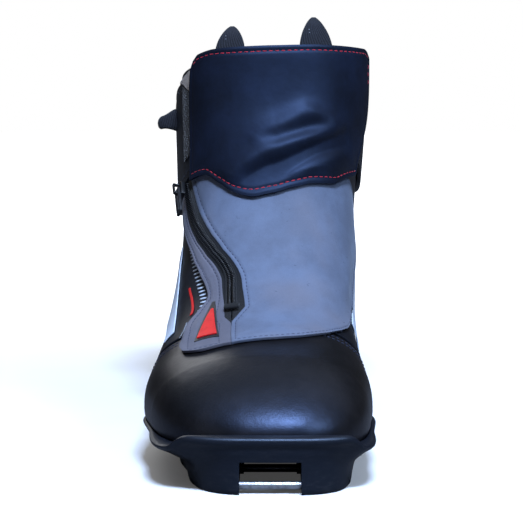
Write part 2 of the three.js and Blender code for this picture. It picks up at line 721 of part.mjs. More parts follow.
addPart("tongue", layer({
  v: [5.42, TONGUE_TOP_V],
  a: [(v) => 1.5 - tongueAngle(v), (v) => tongueAngle(v) - 1.5],
  t: [LINER_IN + 0.2, LINER_OUT + 0.4],
  steps: [18, 6],
}), blackTextile);

// ---- lacing under the cover ----
const LACE_ROWS = 9;
const laceDepth = GAP + LACE_RADIUS + 0.25;
const laceRowV = (row) => mix(5.75, 10.4, row / (LACE_ROWS - 1));
const eyeAngle = (v) => throatAngle(v) + 3.8;
function laceRoute() {
  const route = [];
  for (let row = 0; row < LACE_ROWS; row += 1) {
    const v = laceRowV(row);
    const turn = row % 2 ? -1 : 1;
    for (const share of [-1, -0.5, 0, 0.5, 1]) route.push(onLast(v, turn * share * eyeAngle(v), laceDepth));
    const between = (v + laceRowV(row + 1)) / 2;
    if (row + 1 < LACE_ROWS) route.push(onLast(between, turn * (eyeAngle(between) + 0.6), laceDepth));
  }
  return route;
}
addPart("lace", cord(laceRoute(), LACE_RADIUS, 76), blackTextile);
for (const [side, name] of [[-1, "lateral"], [1, "medial"]]) {
  // A webbing eyestay runs up each edge of the throat, outside the lace's turns.
  const inside = (v) => throatAngle(v) + 7.2;
  const outside = (v) => throatAngle(v) + 12.2;
  addPart(`${name}_eyestay`, layer({
    v: [5.6, 10.6],
    a: side > 0 ? [inside, outside] : [(v) => -outside(v), (v) => -inside(v)],
    t: [CUFF_IN, CUFF_IN + 1.4],
    steps: [18, 2],
  }), blackTextile);
}

// ---- lace cover and its zip ----
// Each border is an angle for a station, or a station for an angle.
const zipCentre = curve([
  [4.6, -16.2], [5.5, -17.2], [6, -18], [6.35, -21.5], [6.7, -27.5],
  [7.2, -35.5], [7.8, -43.5], [8.4, -49.5], [9, -54.5],
]);
const ZIP_HALF_WIDTH = 4.6;       // from the middle of the coil to the cover's edge
const ZIP_TURN = 1.15;            // degrees round the section for each millimetre across the zip
const zipHalfAngle = (v) => ZIP_HALF_WIDTH * ZIP_TURN * mix(0.86, 1, smooth((v - 5) / 3));
const coverMedial = curve([
  [5.1, 58], [5.5, 63], [6, 66], [6.4, 65], [7.2, 72], [8.2, 76], [8.6, 68], [9.3, 60],
]);
const coverLateral = curve([
  [4.3, -43], [4.8, -40], [5.2, -33.5], [5.5, -29.5], [5.8, -30.5],
  [6.2, -34.5], [6.7, -41], [7.5, -50.5], [8.3, -61.5], [9.1, -72],
]);
const coverBottom = curve([
  [-44, 4.3], [-41, 3.85], [-32, 3.61], [-20, 3.64], [0, 3.8],
  [13.5, 4], [28.5, 4.45], [42, 4.93], [58, 5.1],
]);
const fromEdge = (v, a) => smooth((v - coverBottom(a) - 0.3) / 1) * smooth((74 - Math.abs(a)) / 24);
const lift = (v, a) => COVER_REST + COVER_LIFT * fromEdge(v, a);
const ZIP_END_V = 4.72;
const ZIP_TOP_V = 8.95;
const zipSpread = (v) => mix(0.7, zipHalfAngle(v), smooth((v - ZIP_END_V + 0.16) / 0.3));
const zipSide = (v, side) => zipCentre(v) + side * zipSpread(v);

addPart("lace_cover", layer({
  v: [coverBottom, (a) => mix(9.2, 9, smooth(Math.abs(a) / 60))],
  a: [(v) => zipSide(v, 1), coverMedial],
  t: [lift, (v, a) => lift(v, a) + COVER],
  steps: [22, 13],
}), greyNubuck);
addPart("lateral_cover_panel", layer({
  v: [coverBottom, 8.95],
  a: [coverLateral, (v) => zipSide(v, -1)],
  t: [lift, (v, a) => lift(v, a) + COVER],
  steps: [22, 4],
}), browngrey);

const coilHalf = (COIL_WIDTH / 2) * ZIP_TURN;
for (const [side, name] of [[-1, "lateral"], [1, "medial"]]) {
  const nearCoil = (v) => zipCentre(v) + side * 0.35;
  const nearCover = (v) => zipSide(v, side) - side * 0.45;
  addPart(`${name}_zip_tape`, layer({
    v: [ZIP_END_V + 0.27, ZIP_TOP_V],
    a: side > 0 ? [nearCoil, nearCover] : [nearCover, nearCoil],
    t: [(v, a) => lift(v, a) + 0.1, (v, a) => lift(v, a) + 0.1 + TAPE],
    steps: [24, 2],
  }), blackTextile);
}
const coilBase = (v, a) => lift(v, a) + 0.1 + TAPE + GAP;
addPart("zip_coil", layer({
  v: [ZIP_END_V + 0.3, ZIP_TOP_V - 0.05],
  a: [(v) => zipCentre(v) - coilHalf, (v) => zipCentre(v) + coilHalf],
  t: [coilBase, (v, a) => coilBase(v, a) + COIL_HEIGHT],
  steps: [24, 2],
}), nylon);
addPart("zip_bottom_stop", layer({
  v: [ZIP_END_V + 0.12, ZIP_END_V + 0.27],
  a: [zipCentre(ZIP_END_V) - 3.4, zipCentre(ZIP_END_V) + 3.4],
  t: [(v, a) => coilBase(v, a) + 1.4, (v, a) => coilBase(v, a) + 2.6],
  steps: [2, 3],
}), steel);

// The slider runs on an arc through three places just outside the coil.
const sliderDepth = (v, a) => coilBase(v, a) + COIL_HEIGHT;
const sliderPlace = (v, depth) => onLast(v, zipCentre(v), sliderDepth(v, zipCentre(v)) + depth);
const SLIDER_STATIONS = [8.72, 7.6, 6.75];     // closed, halfway and open

function arcThrough(p, q, r) {
  const first = q.clone().sub(p);
  const second = r.clone().sub(p);
  const axis = first.clone().cross(second).normalize();
  const toCentre = first.clone().cross(second).cross(first).multiplyScalar(second.lengthSq())
    .add(second.clone().cross(first.clone().cross(second)).multiplyScalar(first.lengthSq()))
    .divideScalar(2 * first.clone().cross(second).lengthSq());
  const centre = p.clone().add(toCentre);
  const sweep = p.clone().sub(centre).angleTo(r.clone().sub(centre));
  return { axis, centre, sweep };
}
const sliderArc = arcThrough(...SLIDER_STATIONS.map((v) => sliderPlace(v, 1)));

// A frame on the slider: its y runs along the zip towards the toe, and its z outwards.
function sliderFrame() {
  const [rest] = SLIDER_STATIONS;
  const at = sliderPlace(rest, 0);
  const out = lastNormal(rest, zipCentre(rest));
  const radial = at.clone().sub(sliderArc.centre);
  const along = sliderArc.axis.clone().cross(radial).normalize();
  const across = along.clone().cross(out).normalize();
  const up = across.clone().cross(along).normalize();
  return new THREE.Matrix4().makeBasis(across, along, up).setPosition(at);
}
const SLIDER = { width: 7.4, length: 9.4, height: 2.4, lift: 0.8 };
const BRIDGE = { width: 2, reach: 3.6, post: 1, height: 3.4 };
const PULL = { width: 5.2, length: 18, thickness: 1.4, eye: 3.4 };

function sliderOutline() {
  const shape = new THREE.Shape();
  const [w, l] = [SLIDER.width / 2, SLIDER.length / 2];
  shape.moveTo(-w, -l + 2);
  shape.lineTo(-w + 2, -l);
  shape.lineTo(w - 2, -l);
  shape.lineTo(w, -l + 2);
  shape.lineTo(w * 0.7, l);
  shape.lineTo(-w * 0.7, l);
  return shape;
}
function zipSlider() {
  const body = new THREE.ExtrudeGeometry(sliderOutline(), { depth: SLIDER.height, bevelEnabled: false });
  body.translate(0, 0, SLIDER.lift);
  const top = SLIDER.lift + SLIDER.height;
  const { width, reach, post, height } = BRIDGE;
  const bridge = block([-width / 2, -reach, top - 0.5], [width / 2, reach, top + height])
    .subtract(block([-width, post - reach, top], [width, reach - post, top + height - post]));
  return fromSolid(solid(body).add(bridge)).applyMatrix4(sliderFrame());
}
// The pull hangs from the bridge, over the zip and down towards the toe.
const pullBase = SLIDER.lift + SLIDER.height + 0.45;
const PULL_ROD = 0.7;             // half the length of the pull's end that turns inside the bridge
const PULL_PIVOT_Y = BRIDGE.reach - BRIDGE.post - Math.hypot(PULL_ROD, PULL.thickness / 2) - GAP;
function zipPull() {
  const [w, e] = [PULL.width / 2, BRIDGE.width / 2 + GAP];
  const top = pullBase + PULL.thickness;
  const eyeStart = PULL_PIVOT_Y + PULL_ROD;
  const tab = block([-w, PULL_PIVOT_Y - PULL_ROD, pullBase], [w, PULL.length, top])
    .subtract(block([-e, eyeStart, pullBase - 1], [e, eyeStart + PULL.eye, top + 1]))
    .add(block([1 - w, eyeStart + PULL.eye + 1.8, pullBase], [w - 1, PULL.length - 1, top + 0.5]));
  return fromSolid(tab).applyMatrix4(sliderFrame());
}
addPart("zip_slider", zipSlider(), steel);
addPart("zip_pull", zipPull(), nylon);

addPart("cover_badge", layer({
  v: [4.08, 5.05],
  a: [(v) => mix(-32.5, -25.6, (v - 4.08) / 0.97), (v) => mix(-22.6, -24.6, (v - 4.08) / 0.97)],
  t: [(v, a) => lift(v, a) + COVER + GAP, (v, a) => lift(v, a) + COVER + GAP + TRIM],
  steps: [4, 3],
}), redTrim);

// ---- side trims ----
addPart("lateral_white_panel", layer({
  v: [5, 7.9],
  a: [(v) => mix(-62, -74, smooth((v - 5) / 2.5)), (v) => Math.min(coverLateral(v) - 2.5, -46)],
  t: [GAP, GAP + TRIM],
  steps: [12, 3],
}), whitePanel);
addPart("medial_white_panel", layer({
  v: [5.9, 8.6],
  a: [(v) => coverMedial(v) + 2.5, (v) => mix(84, 92, smooth((v - 6) / 2))],
  t: [GAP, GAP + TRIM],
  steps: [12, 3],
}), whitePanel);

// ---- ankle cuff, flap and its fastening ----
const cuffLow = (a) => mix(a > 0 ? 9.75 : 9.15, 10.55, smooth((Math.abs(a) - 50) / 120));
const aroundBack = (a) => (a > 180 ? a - 360 : a);
const overBackstay = (a) => (BACKSTAY + GAP) * smooth((Math.abs(aroundBack(a)) - 145) / 20);
const cuffHigh = (a) => mix(11.62, 11.35, smooth((-a - 40) / 30));
addPart("ankle_cuff", layer({
  v: [(a) => cuffLow(aroundBack(a)), (a) => cuffHigh(aroundBack(a))],
  a: [56, 313],
  t: [(v, a) => CUFF_IN + overBackstay(a), (v, a) => CUFF_OUT + overBackstay(a)],
  steps: [8, 28],
}), leatherette);

const flapBottom = curve([
  [-46, 8.74], [-30, 8.45], [-12, 7.78], [0, 7.9], [14, 8.18],
  [32, 8.42], [42, 8.68], [54, 9.12], [66, 9.55],
]);
const flapTop = curve([[-46, 11.65], [-38, 11.82], [-12, 11.95], [20, 12.03], [66, 12.07]]);
const FLAP_FREE = -46;            // the end that opens
const flapSewn = (v) => mix(55, 66, smooth((v - 9) / 1.8));
addPart("cuff_flap", layer({
  v: [flapBottom, flapTop],
  a: [FLAP_FREE, flapSewn],
  t: [FLAP_IN, FLAP_OUT],
  steps: [11, 18],
}), leatherette);
const loopPatchOut = CUFF_OUT + GAP + PATCH;
addPart("loop_patch", layer({
  v: [9.55, 11.4],
  a: [-60, -47.6],
  t: [CUFF_OUT + GAP, loopPatchOut],
  steps: [8, 3],
}), blackTextile);
addPart("hook_patch", layer({
  v: [9.2, 11.3],
  a: [-44.6, -34],
  t: [FLAP_IN - GAP - PATCH, FLAP_IN - GAP],
  steps: [8, 3],
}), blackTextile);

// ---- pull loops ----
// A webbing strap folded over into an upright loop that faces forwards: foot is the middle of its base.
function pullLoop(foot, height, width) {
  const outer = LOOP_GAP / 2 + LOOP_THICKNESS;
  const inner = LOOP_GAP / 2;
  const shape = new THREE.Shape();
  shape.moveTo(-outer, 0);
  shape.lineTo(-inner, 0);
  shape.lineTo(-inner, height - outer);
  shape.absarc(0, height - outer, inner, Math.PI, 0, true);
  shape.lineTo(inner, 0);
  shape.lineTo(outer, 0);
  shape.lineTo(outer, height - outer);
  shape.absarc(0, height - outer, outer, 0, Math.PI, false);
  shape.lineTo(-outer, 0);
  const loop = new THREE.ExtrudeGeometry(shape, { depth: width, curveSegments: 8, bevelEnabled: false });
  loop.translate(0, 0, -width / 2);
  loop.rotateY(Math.PI / 2);
  loop.rotateX(Math.PI / 2);
  loop.translate(foot.x, foot.y, foot.z);
  return loop;
}
const collarMiddle = (LINER_IN + LINER_OUT) / 2;
const loopFoot = (a) => onLast(collarTop(a), a, collarMiddle - 1.2).add(new THREE.Vector3(0, 0, 1));
addPart("lateral_collar_loop", pullLoop(loopFoot(-27), 14, LOOP_WIDTH), blackTextile);
addPart("medial_collar_loop", pullLoop(loopFoot(28.5), 18.5, LOOP_WIDTH + 2), blackTextile);
addPart("heel_pull_loop", pullLoop(loopFoot(180), 13, LOOP_WIDTH), blackTextile);

// A webbing tab stands out from the lateral side of the cuff.
function sideTab() {
  const foot = onLast(10.83, -78, CUFF_OUT + GAP);
  const shape = new THREE.Shape();
  shape.moveTo(0, -6.5);
  shape.quadraticCurveTo(6, -5, 10, 2);
  shape.quadraticCurveTo(5, 7.5, 0, 6);
  shape.lineTo(0, -6.5);
  const tab = new THREE.ExtrudeGeometry(shape, { depth: 12, curveSegments: 6, bevelEnabled: false });
  tab.translate(0, 0, -6);
  tab.rotateX(Math.PI / 2);
  tab.rotateZ(Math.PI);
  tab.translate(foot.x - 0.8, foot.y, foot.z);
  return tab;
}
addPart("side_tab", sideTab(), blackTextile);

// ---- place the origin under the middle of the boot ----
const reach = new THREE.Box3().setFromObject(boot);
const middle = reach.getCenter(new THREE.Vector3());
boot.position.set(-middle.x, -middle.y, -reach.min.z);

export default boot;
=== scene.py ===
"""Cross country ski boot, right foot: the looks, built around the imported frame.

Metres, +Z up, toe towards -Y, medial side towards +X. The upper's pieces are sheets laid over one
smooth last surface. A place on it is a station v (0 at the toe tip, 12 at the top of the shaft) and an
angle a in degrees round the section (0 on top or in front, + medial, - lateral, 180 below or behind).
"""
import math
from contextlib import contextmanager

import bpy
import numpy as np
from mathutils import Matrix, Vector
from mathutils.kdtree import KDTree


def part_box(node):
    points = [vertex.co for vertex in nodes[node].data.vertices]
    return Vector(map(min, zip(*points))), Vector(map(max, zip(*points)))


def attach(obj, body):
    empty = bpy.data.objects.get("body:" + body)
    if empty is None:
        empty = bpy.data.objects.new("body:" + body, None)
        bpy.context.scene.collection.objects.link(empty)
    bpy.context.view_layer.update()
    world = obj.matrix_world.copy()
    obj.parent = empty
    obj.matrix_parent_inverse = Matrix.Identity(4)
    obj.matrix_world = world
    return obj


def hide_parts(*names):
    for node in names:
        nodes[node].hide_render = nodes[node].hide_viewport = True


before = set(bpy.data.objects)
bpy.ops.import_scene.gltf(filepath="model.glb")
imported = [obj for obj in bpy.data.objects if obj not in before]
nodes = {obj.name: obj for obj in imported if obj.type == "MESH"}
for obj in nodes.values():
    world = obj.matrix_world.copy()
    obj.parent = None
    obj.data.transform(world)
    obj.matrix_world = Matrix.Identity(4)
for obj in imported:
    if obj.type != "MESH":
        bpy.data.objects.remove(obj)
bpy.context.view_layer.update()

MM = 0.001


def node_box(name):
    low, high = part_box(name)
    return np.array(low) / MM, np.array(high) / MM


bar_low, bar_high = node_box("front_binding_bar")
SHIFT_X = (bar_low[0] + bar_high[0]) / 2          # the last's middle plane in the frame, mm

# ---------------------------------------------------------------- the last, in millimetres
GROUND_TO_UPPER = 14.0
TOP_V = 12.0
CAP_V = 3.0
TOE_TIP = (-143.0, 11.0 + GROUND_TO_UPPER)        # y and z
# One row per station from CAP_V: top y, top z, bottom y, bottom z, lateral and medial half width,
# centre x, share of the height below the widest point, roundness above it, roundness below it.
STATIONS = np.array([
    [-100, 43, -100, 0, 58, 45.5, 2, 0.7, 2.3, 3.4],
    [-76, 47.5, -74, 0, 62.5, 47, 2, 0.7, 2.3, 3.4],
    [-49, 55, -42, 0, 60, 44.5, 2, 0.68, 2.3, 3.4],
    [-26, 68, -5, 0, 55, 42, 1.5, 0.64, 2.35, 3.4],
    [-8, 87, 42, 1, 50.5, 41.5, 1, 0.58, 2.4, 3.2],
    [4, 107.5, 98, 4, 48, 42.5, 1, 0.54, 2.5, 2.9],
    [11, 128, 142, 20, 47, 42.5, 1, 0.52, 2.6, 2.6],
    [16, 146, 143.5, 66, 48, 44, 1.5, 0.5, 2.6, 2.4],
    [19, 163, 137, 112, 48.5, 46, 1.5, 0.5, 2.6, 2.3],
    [21, 180, 133, 156, 47.5, 46.3, 1.5, 0.5, 2.6, 2.3],
])
STATIONS[:, [1, 3]] += GROUND_TO_UPPER
TOE_START = {"top_z": 46.0, "low_z": 14.0, "lateral": 47.0, "medial": 40.0, "mid_x": 3.0}
FIELDS = ("top_y", "top_z", "low_y", "low_z", "lateral", "medial", "mid_x", "widest", "round_top",
          "round_low")
PADDED = np.vstack([2 * STATIONS[0] - STATIONS[1], STATIONS, 2 * STATIONS[-1] - STATIONS[-2]])


def clamp(x, low, high):
    return np.minimum(np.maximum(x, low), high)


def mix(start, end, share):
    return start + (end - start) * share


def smooth(x):
    s = clamp(x, 0.0, 1.0)
    return s * s * (3 - 2 * s)


def bulge(c, power):
    return (1 - np.abs(c) ** power) ** (1 / power)


def catmull(p0, p1, p2, p3, t):
    rest = (2 * p0 - 5 * p1 + 4 * p2 - p3) * t * t + (3 * p1 - 3 * p2 + p3 - p0) * t ** 3
    return 0.5 * (2 * p1 + (p2 - p0) * t + rest)


def curve(*points):
    """A smooth function through a few (x, y) points with x rising, flat beyond its ends."""
    xs, ys = np.array(points, float).T
    ye = np.concatenate([[2 * ys[0] - ys[1]], ys, [2 * ys[-1] - ys[-2]]])

    def at(x):
        x = clamp(np.asarray(x, float), xs[0], xs[-1])
        i = clamp(np.searchsorted(xs, x, side="right") - 1, 0, len(xs) - 2)
        return catmull(ye[i], ye[i + 1], ye[i + 2], ye[i + 3], (x - xs[i]) / (xs[i + 1] - xs[i]))

    return at


def station(v):
    u = clamp(v, CAP_V, TOP_V) - CAP_V
    i = np.minimum(np.floor(u).astype(int), len(STATIONS) - 2)
    t = (u - i)[..., None]
    rows = catmull(PADDED[i], PADDED[i + 1], PADDED[i + 2], PADDED[i + 3], t)
    rows = rows + np.maximum(v - TOP_V, 0)[..., None] * (PADDED[i + 2] - PADDED[i + 1])
    section = {name: rows[..., k] for k, name in enumerate(FIELDS)}
    c = np.cos(np.pi * clamp(v, 0, CAP_V) / (2 * CAP_V))
    toe = v < CAP_V
    cap = dict(zip(FIELDS, STATIONS[0]))
    tip_y, tip_z = TOE_TIP

    def trend(name):
        return mix(TOE_START[name], cap[name], 1 - c)

    y = mix(cap["top_y"], tip_y, c)
    front = {
        "top_y": y,
        "low_y": y,
        "top_z": mix(tip_z, trend("top_z"), bulge(c, 2)),
        "low_z": mix(tip_z, trend("low_z"), bulge(c, 3)),
        "lateral": trend("lateral") * bulge(c, 2.6),
        "medial": trend("medial") * bulge(c, 2.6),
        "mid_x": trend("mid_x"),
    }
    for name, values in front.items():
        section[name] = np.where(toe, values, section[name])
    return section


def last_point(v, a):
    s = station(v)
    sine, cosine = np.sin(np.radians(a)), np.cos(np.radians(a))
    power = 2 / np.where(cosine > 0, s["round_top"], s["round_low"])
    across = np.sign(sine) * np.abs(sine) ** power
    rise = np.abs(cosine) ** power
    t = np.where(cosine > 0, s["widest"] * (1 - rise), s["widest"] + (1 - s["widest"]) * rise)
    half = np.where(sine > 0, s["medial"], s["lateral"])
    x = s["mid_x"] + half * across
    return np.stack([x, mix(s["top_y"], s["low_y"], t), mix(s["top_z"], s["low_z"], t)], -1)


def last_normal(v, a):
    along = last_point(np.maximum(v + 0.02, 0.05), a) - last_point(np.maximum(v - 0.02, 0.015), a)
    w = np.maximum(v, 0.03)
    around = last_point(w, a + 0.8) - last_point(w, a - 0.8)
    normal = np.cross(around, along)
    return normal / np.linalg.norm(normal, axis=-1, keepdims=True)


def on_last(v, a, depth):
    """Places in metres in the frame, at a depth in millimetres outwards from the last."""
    v, a = np.broadcast_arrays(np.asarray(v, float), np.asarray(a, float))
    spot = last_point(v, a) + last_normal(v, a) * np.broadcast_to(depth, v.shape)[..., None]
    tip = v < 1e-6
    tip_spot = np.stack([np.full(v.shape, TOE_START["mid_x"]),
                         TOE_TIP[0] - np.broadcast_to(depth, v.shape), np.full(v.shape, TOE_TIP[1])], -1)
    spot = np.where(tip[..., None], tip_spot, spot)
    return (spot + [SHIFT_X, 0, 0]) * MM


# ---------------------------------------------------------------- layers and borders of the upper
GAP, EASE = 0.3, 0.6
SHELL, STIFFENER, LINER = 2.0, 0.9, 4.6
LINER_OUT = -SHELL - STIFFENER - 2 * GAP - 2.3 * EASE
LINER_IN = LINER_OUT - LINER
CUFF_IN = GAP + 0.3 * EASE
CUFF_OUT = CUFF_IN + 2.3
COVER_REST = GAP + 0.5 * EASE
COVER_LIFT, COVER = 2.4, 1.6
FLAP = 2.0
FLAP_IN = COVER_REST + COVER_LIFT + COVER + 0.5
FLAP_OUT = FLAP_IN + FLAP
BACKSTAY = 1.4
TAPE = 0.9

LASTING_ANGLE = 140.0
SEAM_V = 0.13
QUARTER_TOP_V = 11.65
COLLAR_V, COLLAR_TOP_V = 11.1, 11.78
ZIP_END_V, ZIP_TOP_V = 4.72, 8.95
ZIP_TURN = 1.15                                   # degrees round the section per mm across the zip
SIDES = ((-1, "lateral"), (1, "medial"))


def lasting_angle(v):
    return mix(LASTING_ANGLE, 179.4, smooth((v - 7.6) / 1.2))


def vamp_edge(a):
    return 4.5 + 1.6 * (clamp(a, -LASTING_ANGLE, LASTING_ANGLE) / LASTING_ANGLE) ** 2


def throat_angle(v):
    return 30 * smooth((v - 5.1) / 1.2) + 0.8 * np.maximum(v - 7, 0) + 0.6


def tongue_angle(v):
    return 20 * smooth((v - 5.2) / 1) + 1.2 * np.maximum(v - 7, 0) + 1.8


def collar_top(a):
    return COLLAR_TOP_V + 0.1 * (1 - np.cos(np.radians(a)))


def around_back(a):
    return np.where(a > 180, a - 360, a)


zip_centre = curve((4.6, -16.2), (5.5, -17.2), (6, -18), (6.35, -21.5), (6.7, -27.5),
                   (7.2, -35.5), (7.8, -43.5), (8.4, -49.5), (9, -54.5))
cover_medial = curve((4.8, 53), (5.5, 58), (6, 63), (6.5, 67), (7.2, 72), (8.2, 77), (8.6, 70), (9.3, 60))
cover_lateral = curve((4.3, -43), (4.8, -40), (5.2, -33.5), (5.5, -29.5), (5.8, -30.5),
                      (6.2, -34.5), (6.7, -41), (7.5, -50.5), (8.3, -61.5), (9.1, -72))
cover_bottom = curve((-44, 4.3), (-41, 3.85), (-32, 3.61), (-20, 3.64), (0, 3.8),
                     (13.5, 3.98), (28.5, 4.36), (42, 4.84), (50, 5.2), (56, 5.62), (62, 6.3))
flap_bottom = curve((-46, 8.8), (-32, 8.63), (-22, 8.22), (-16, 7.97), (-8, 7.82), (-2, 7.86), (6, 8.01),
                    (17, 8.21), (34, 8.46), (45, 8.85), (54, 9.15), (66, 9.55))
flap_crown = curve((-46, 11.32), (-45, 11.54), (-43.5, 11.69), (-40, 11.84), (-30, 11.94),
                   (-12, 11.98), (20, 12.05), (66, 12.09))


def zip_spread(v, side):
    """Half the width of the zip's opening in degrees; its lower end is cut on a slant."""
    half = 4.6 * ZIP_TURN * mix(0.86, 1, smooth((v - 5) / 3))
    if side > 0:
        return mix(0.1, half * mix(1.3, 1, smooth((v - 5) / 1.2)), clamp((v - 4.5) / 0.46, 0, 1))
    return mix(0.1, half * mix(0.72, 1, smooth((v - 4.9) / 1)), smooth((v - 4.42) / 0.3))


def flap_top(a):
    return flap_crown(a) - 0.3 * (1 - np.sqrt(1 - clamp((a - 56) / 10, 0, 0.999) ** 2))


def cover_lift(v, a):
    edge = smooth((v - cover_bottom(a) - 0.3) / 1) * smooth((74 - np.abs(a)) / 24)
    return COVER_REST + COVER_LIFT * edge


def coil_base(v, a):
    return cover_lift(v, a) + 0.1 + TAPE + GAP


def cuff_low(a):
    return mix(np.where(a > 0, 9.75, 9.15), 10.55, smooth((np.abs(a) - 50) / 120))


def cuff_high(a):
    return mix(11.62, 11.35, smooth((-a - 40) / 30))


def over_backstay(a):
    return (BACKSTAY + GAP) * smooth((np.abs(around_back(a)) - 145) / 20)


# ---------------------------------------------------------------- materials
class Value:
    """A socket in a material. Arithmetic on it adds Math nodes."""

    def __init__(self, paint, node, socket):
        self.paint, self.node, self.socket = paint, node, socket

    def out(self, name):
        return Value(self.paint, self.node, self.node.outputs[name])

    def _math(self, operation, *inputs):
        return self.paint.add("ShaderNodeMath", {"operation": operation}, *inputs)

    def __add__(self, other):
        return self._math("ADD", self, other)

    __radd__ = __add__

    def __mul__(self, other):
        return self._math("MULTIPLY", self, other)

    __rmul__ = __mul__

    def __sub__(self, other):
        return self._math("SUBTRACT", self, other)

    def __rsub__(self, other):
        return self._math("SUBTRACT", other, self)

    def __truediv__(self, other):
        return self._math("DIVIDE", self, other)

    def __gt__(self, other):
        return self._math("GREATER_THAN", self, other)

    def sine(self):
        return self._math("SINE", self)

    def between(self, low, high):
        """0 up to low, 1 from high, and smooth in between."""
        settings = {"interpolation_type": "SMOOTHSTEP"}
        return self.paint.add("ShaderNodeMapRange", settings, self, low, high, 0.0, 1.0)


class Paint:
    """One material and its nodes."""

    def __init__(self, name, **constants):
        self.material = bpy.data.materials.new(name)
        self.material.use_nodes = True
        self.tree = self.material.node_tree
        self.shader = self.tree.nodes["Principled BSDF"]
        for key, value in constants.items():
            self.shader.inputs[key.replace("_", " ")].default_value = value

    def add(self, kind, settings=None, *values, **named):
        """Adds a node with its settings, then its inputs by place or by name; gives its first output."""
        node = self.tree.nodes.new(kind)
        for key, setting in (settings or {}).items():
            setattr(node, key, setting)
        for i, value in enumerate(values):
            self.feed(node.inputs[i], value)
        for key, value in named.items():
            self.feed(node.inputs[key.replace("_", " ")], value)
        first = next((s for s in node.outputs if s.enabled), node.outputs[0])
        return Value(self, node, first)

    def feed(self, socket, value):
        if isinstance(value, Value):
            self.tree.links.new(value.socket, socket)
        else:
            socket.default_value = value

    def place(self, stretch=(1, 1, 1), turn=0.0, own_uv=False):
        """Object coordinates, or the piece's own map in millimetres, stretched and turned."""
        source = self.add("ShaderNodeTexCoord").out("UV" if own_uv else "Object")
        rotation = (0, 0, math.radians(turn))
        return self.add("ShaderNodeMapping", None, source, (0, 0, 0), rotation, stretch)

    def noise(self, where, size, detail=3.0, rough=0.55):
        """Noise whose features are about one size across, in the units of where."""
        return self.add("ShaderNodeTexNoise", None, Vector=where, Scale=1 / size, Detail=detail,
                        Roughness=rough)

    def cells(self, where, size, feature="F1"):
        return self.add("ShaderNodeTexVoronoi", {"feature": feature}, Vector=where, Scale=1 / size)

    def blend(self, share, first, second):
        node = self.add("ShaderNodeMix", {"data_type": "RGBA"}).node
        sockets = {socket.identifier: socket for socket in (*node.inputs, *node.outputs)}
        for name, value in (("Factor_Float", share), ("A_Color", first), ("B_Color", second)):
            self.feed(sockets[name], value)
        return Value(self, node, sockets["Result_Color"])

    def split(self, where):
        parts = self.add("ShaderNodeSeparateXYZ", None, where)
        return parts.out("X"), parts.out("Y"), parts.out("Z")

    def bump(self, height, depth, strength=1.0, under=None):
        """A bump of a depth in millimetres, laid over another."""
        named = {"Height": height, "Strength": strength, "Distance": depth * MM}
        if under:
            named["Normal"] = under
        return self.add("ShaderNodeBump", None, **named)

    def use(self, *surface):
        """Links colour, roughness and bump, where they vary, to the shader."""
        for name, value in zip(("Base Color", "Roughness", "Normal"), surface):
            self.feed(self.shader.inputs[name], value)
        return self.material


def tone(r, g, b):
    return (r, g, b, 1.0)


def leather(name, base, lighter, rough=0.42, grain=0.75, grain_depth=0.05, sheen=(0.55, 0.7, 1.0)):
    """Smooth coated leather: fine cells, faint pores, soft dents and a slightly dusty tone."""
    p = Paint(name, Specular_IOR_Level=0.42, Specular_Tint=(*sheen, 1.0))
    co = p.place()
    pebbles = p.cells(co, grain * MM, "SMOOTH_F1")
    pores = p.noise(co, 0.28 * MM, 2)
    clouds = p.noise(co, 22 * MM, 4)
    rub = p.noise(co, 4 * MM, 5, 0.7)
    share = clouds * 0.75 + rub * 0.25
    color = p.blend(share.between(0.35, 0.72), base, lighter)
    rough_value = rough - 0.07 + 0.16 * clouds + 0.08 * pores
    dents = p.bump(p.noise(co, 9 * MM, 2), 0.5, 0.35)
    return p.use(color, rough_value, p.bump(pebbles * 0.7 + pores * 0.5, grain_depth, 0.55, dents))


def coated_fabric(name, base, shade, spot, rubbed):
    """Brushed synthetic nubuck: a very fine nap, cloudy tone, rubbed patches and small dark specks."""
    p = Paint(name, Specular_IOR_Level=0.3, Sheen_Weight=0.12, Sheen_Roughness=0.45,
              Sheen_Tint=(0.75, 0.85, 1.0, 1.0))
    co = p.place()
    nap = p.noise(co, 0.22 * MM, 3, 0.7)
    fibre = p.noise(p.place((1, 0.35, 1)), 0.5 * MM, 2)
    clouds = p.noise(co, 24 * MM, 4, 0.6)
    color = p.blend(clouds.between(0.36, 0.66), shade, base)
    patches = p.noise(p.place((1, 1, 0.4)), 34 * MM, 2, 0.5)
    color = p.blend(patches.between(0.42, 0.72) * 0.7, color, rubbed)
    color = p.blend((nap * 0.6 + fibre * 0.4).between(0.3, 0.75) * 0.14, color, tone(0.26, 0.31, 0.42))
    specks = (p.noise(co, 3.2 * MM, 1) > 0.74) * (p.noise(co, 0.9 * MM, 1) > 0.55)
    color = p.blend(specks * 0.5, color, spot)
    soft = p.bump(p.noise(co, 7 * MM, 2), 0.35, 0.3)
    return p.use(color, 0.62 + 0.2 * nap, p.bump(nap * 0.7 + fibre * 0.3, 0.06, 0.5, soft))


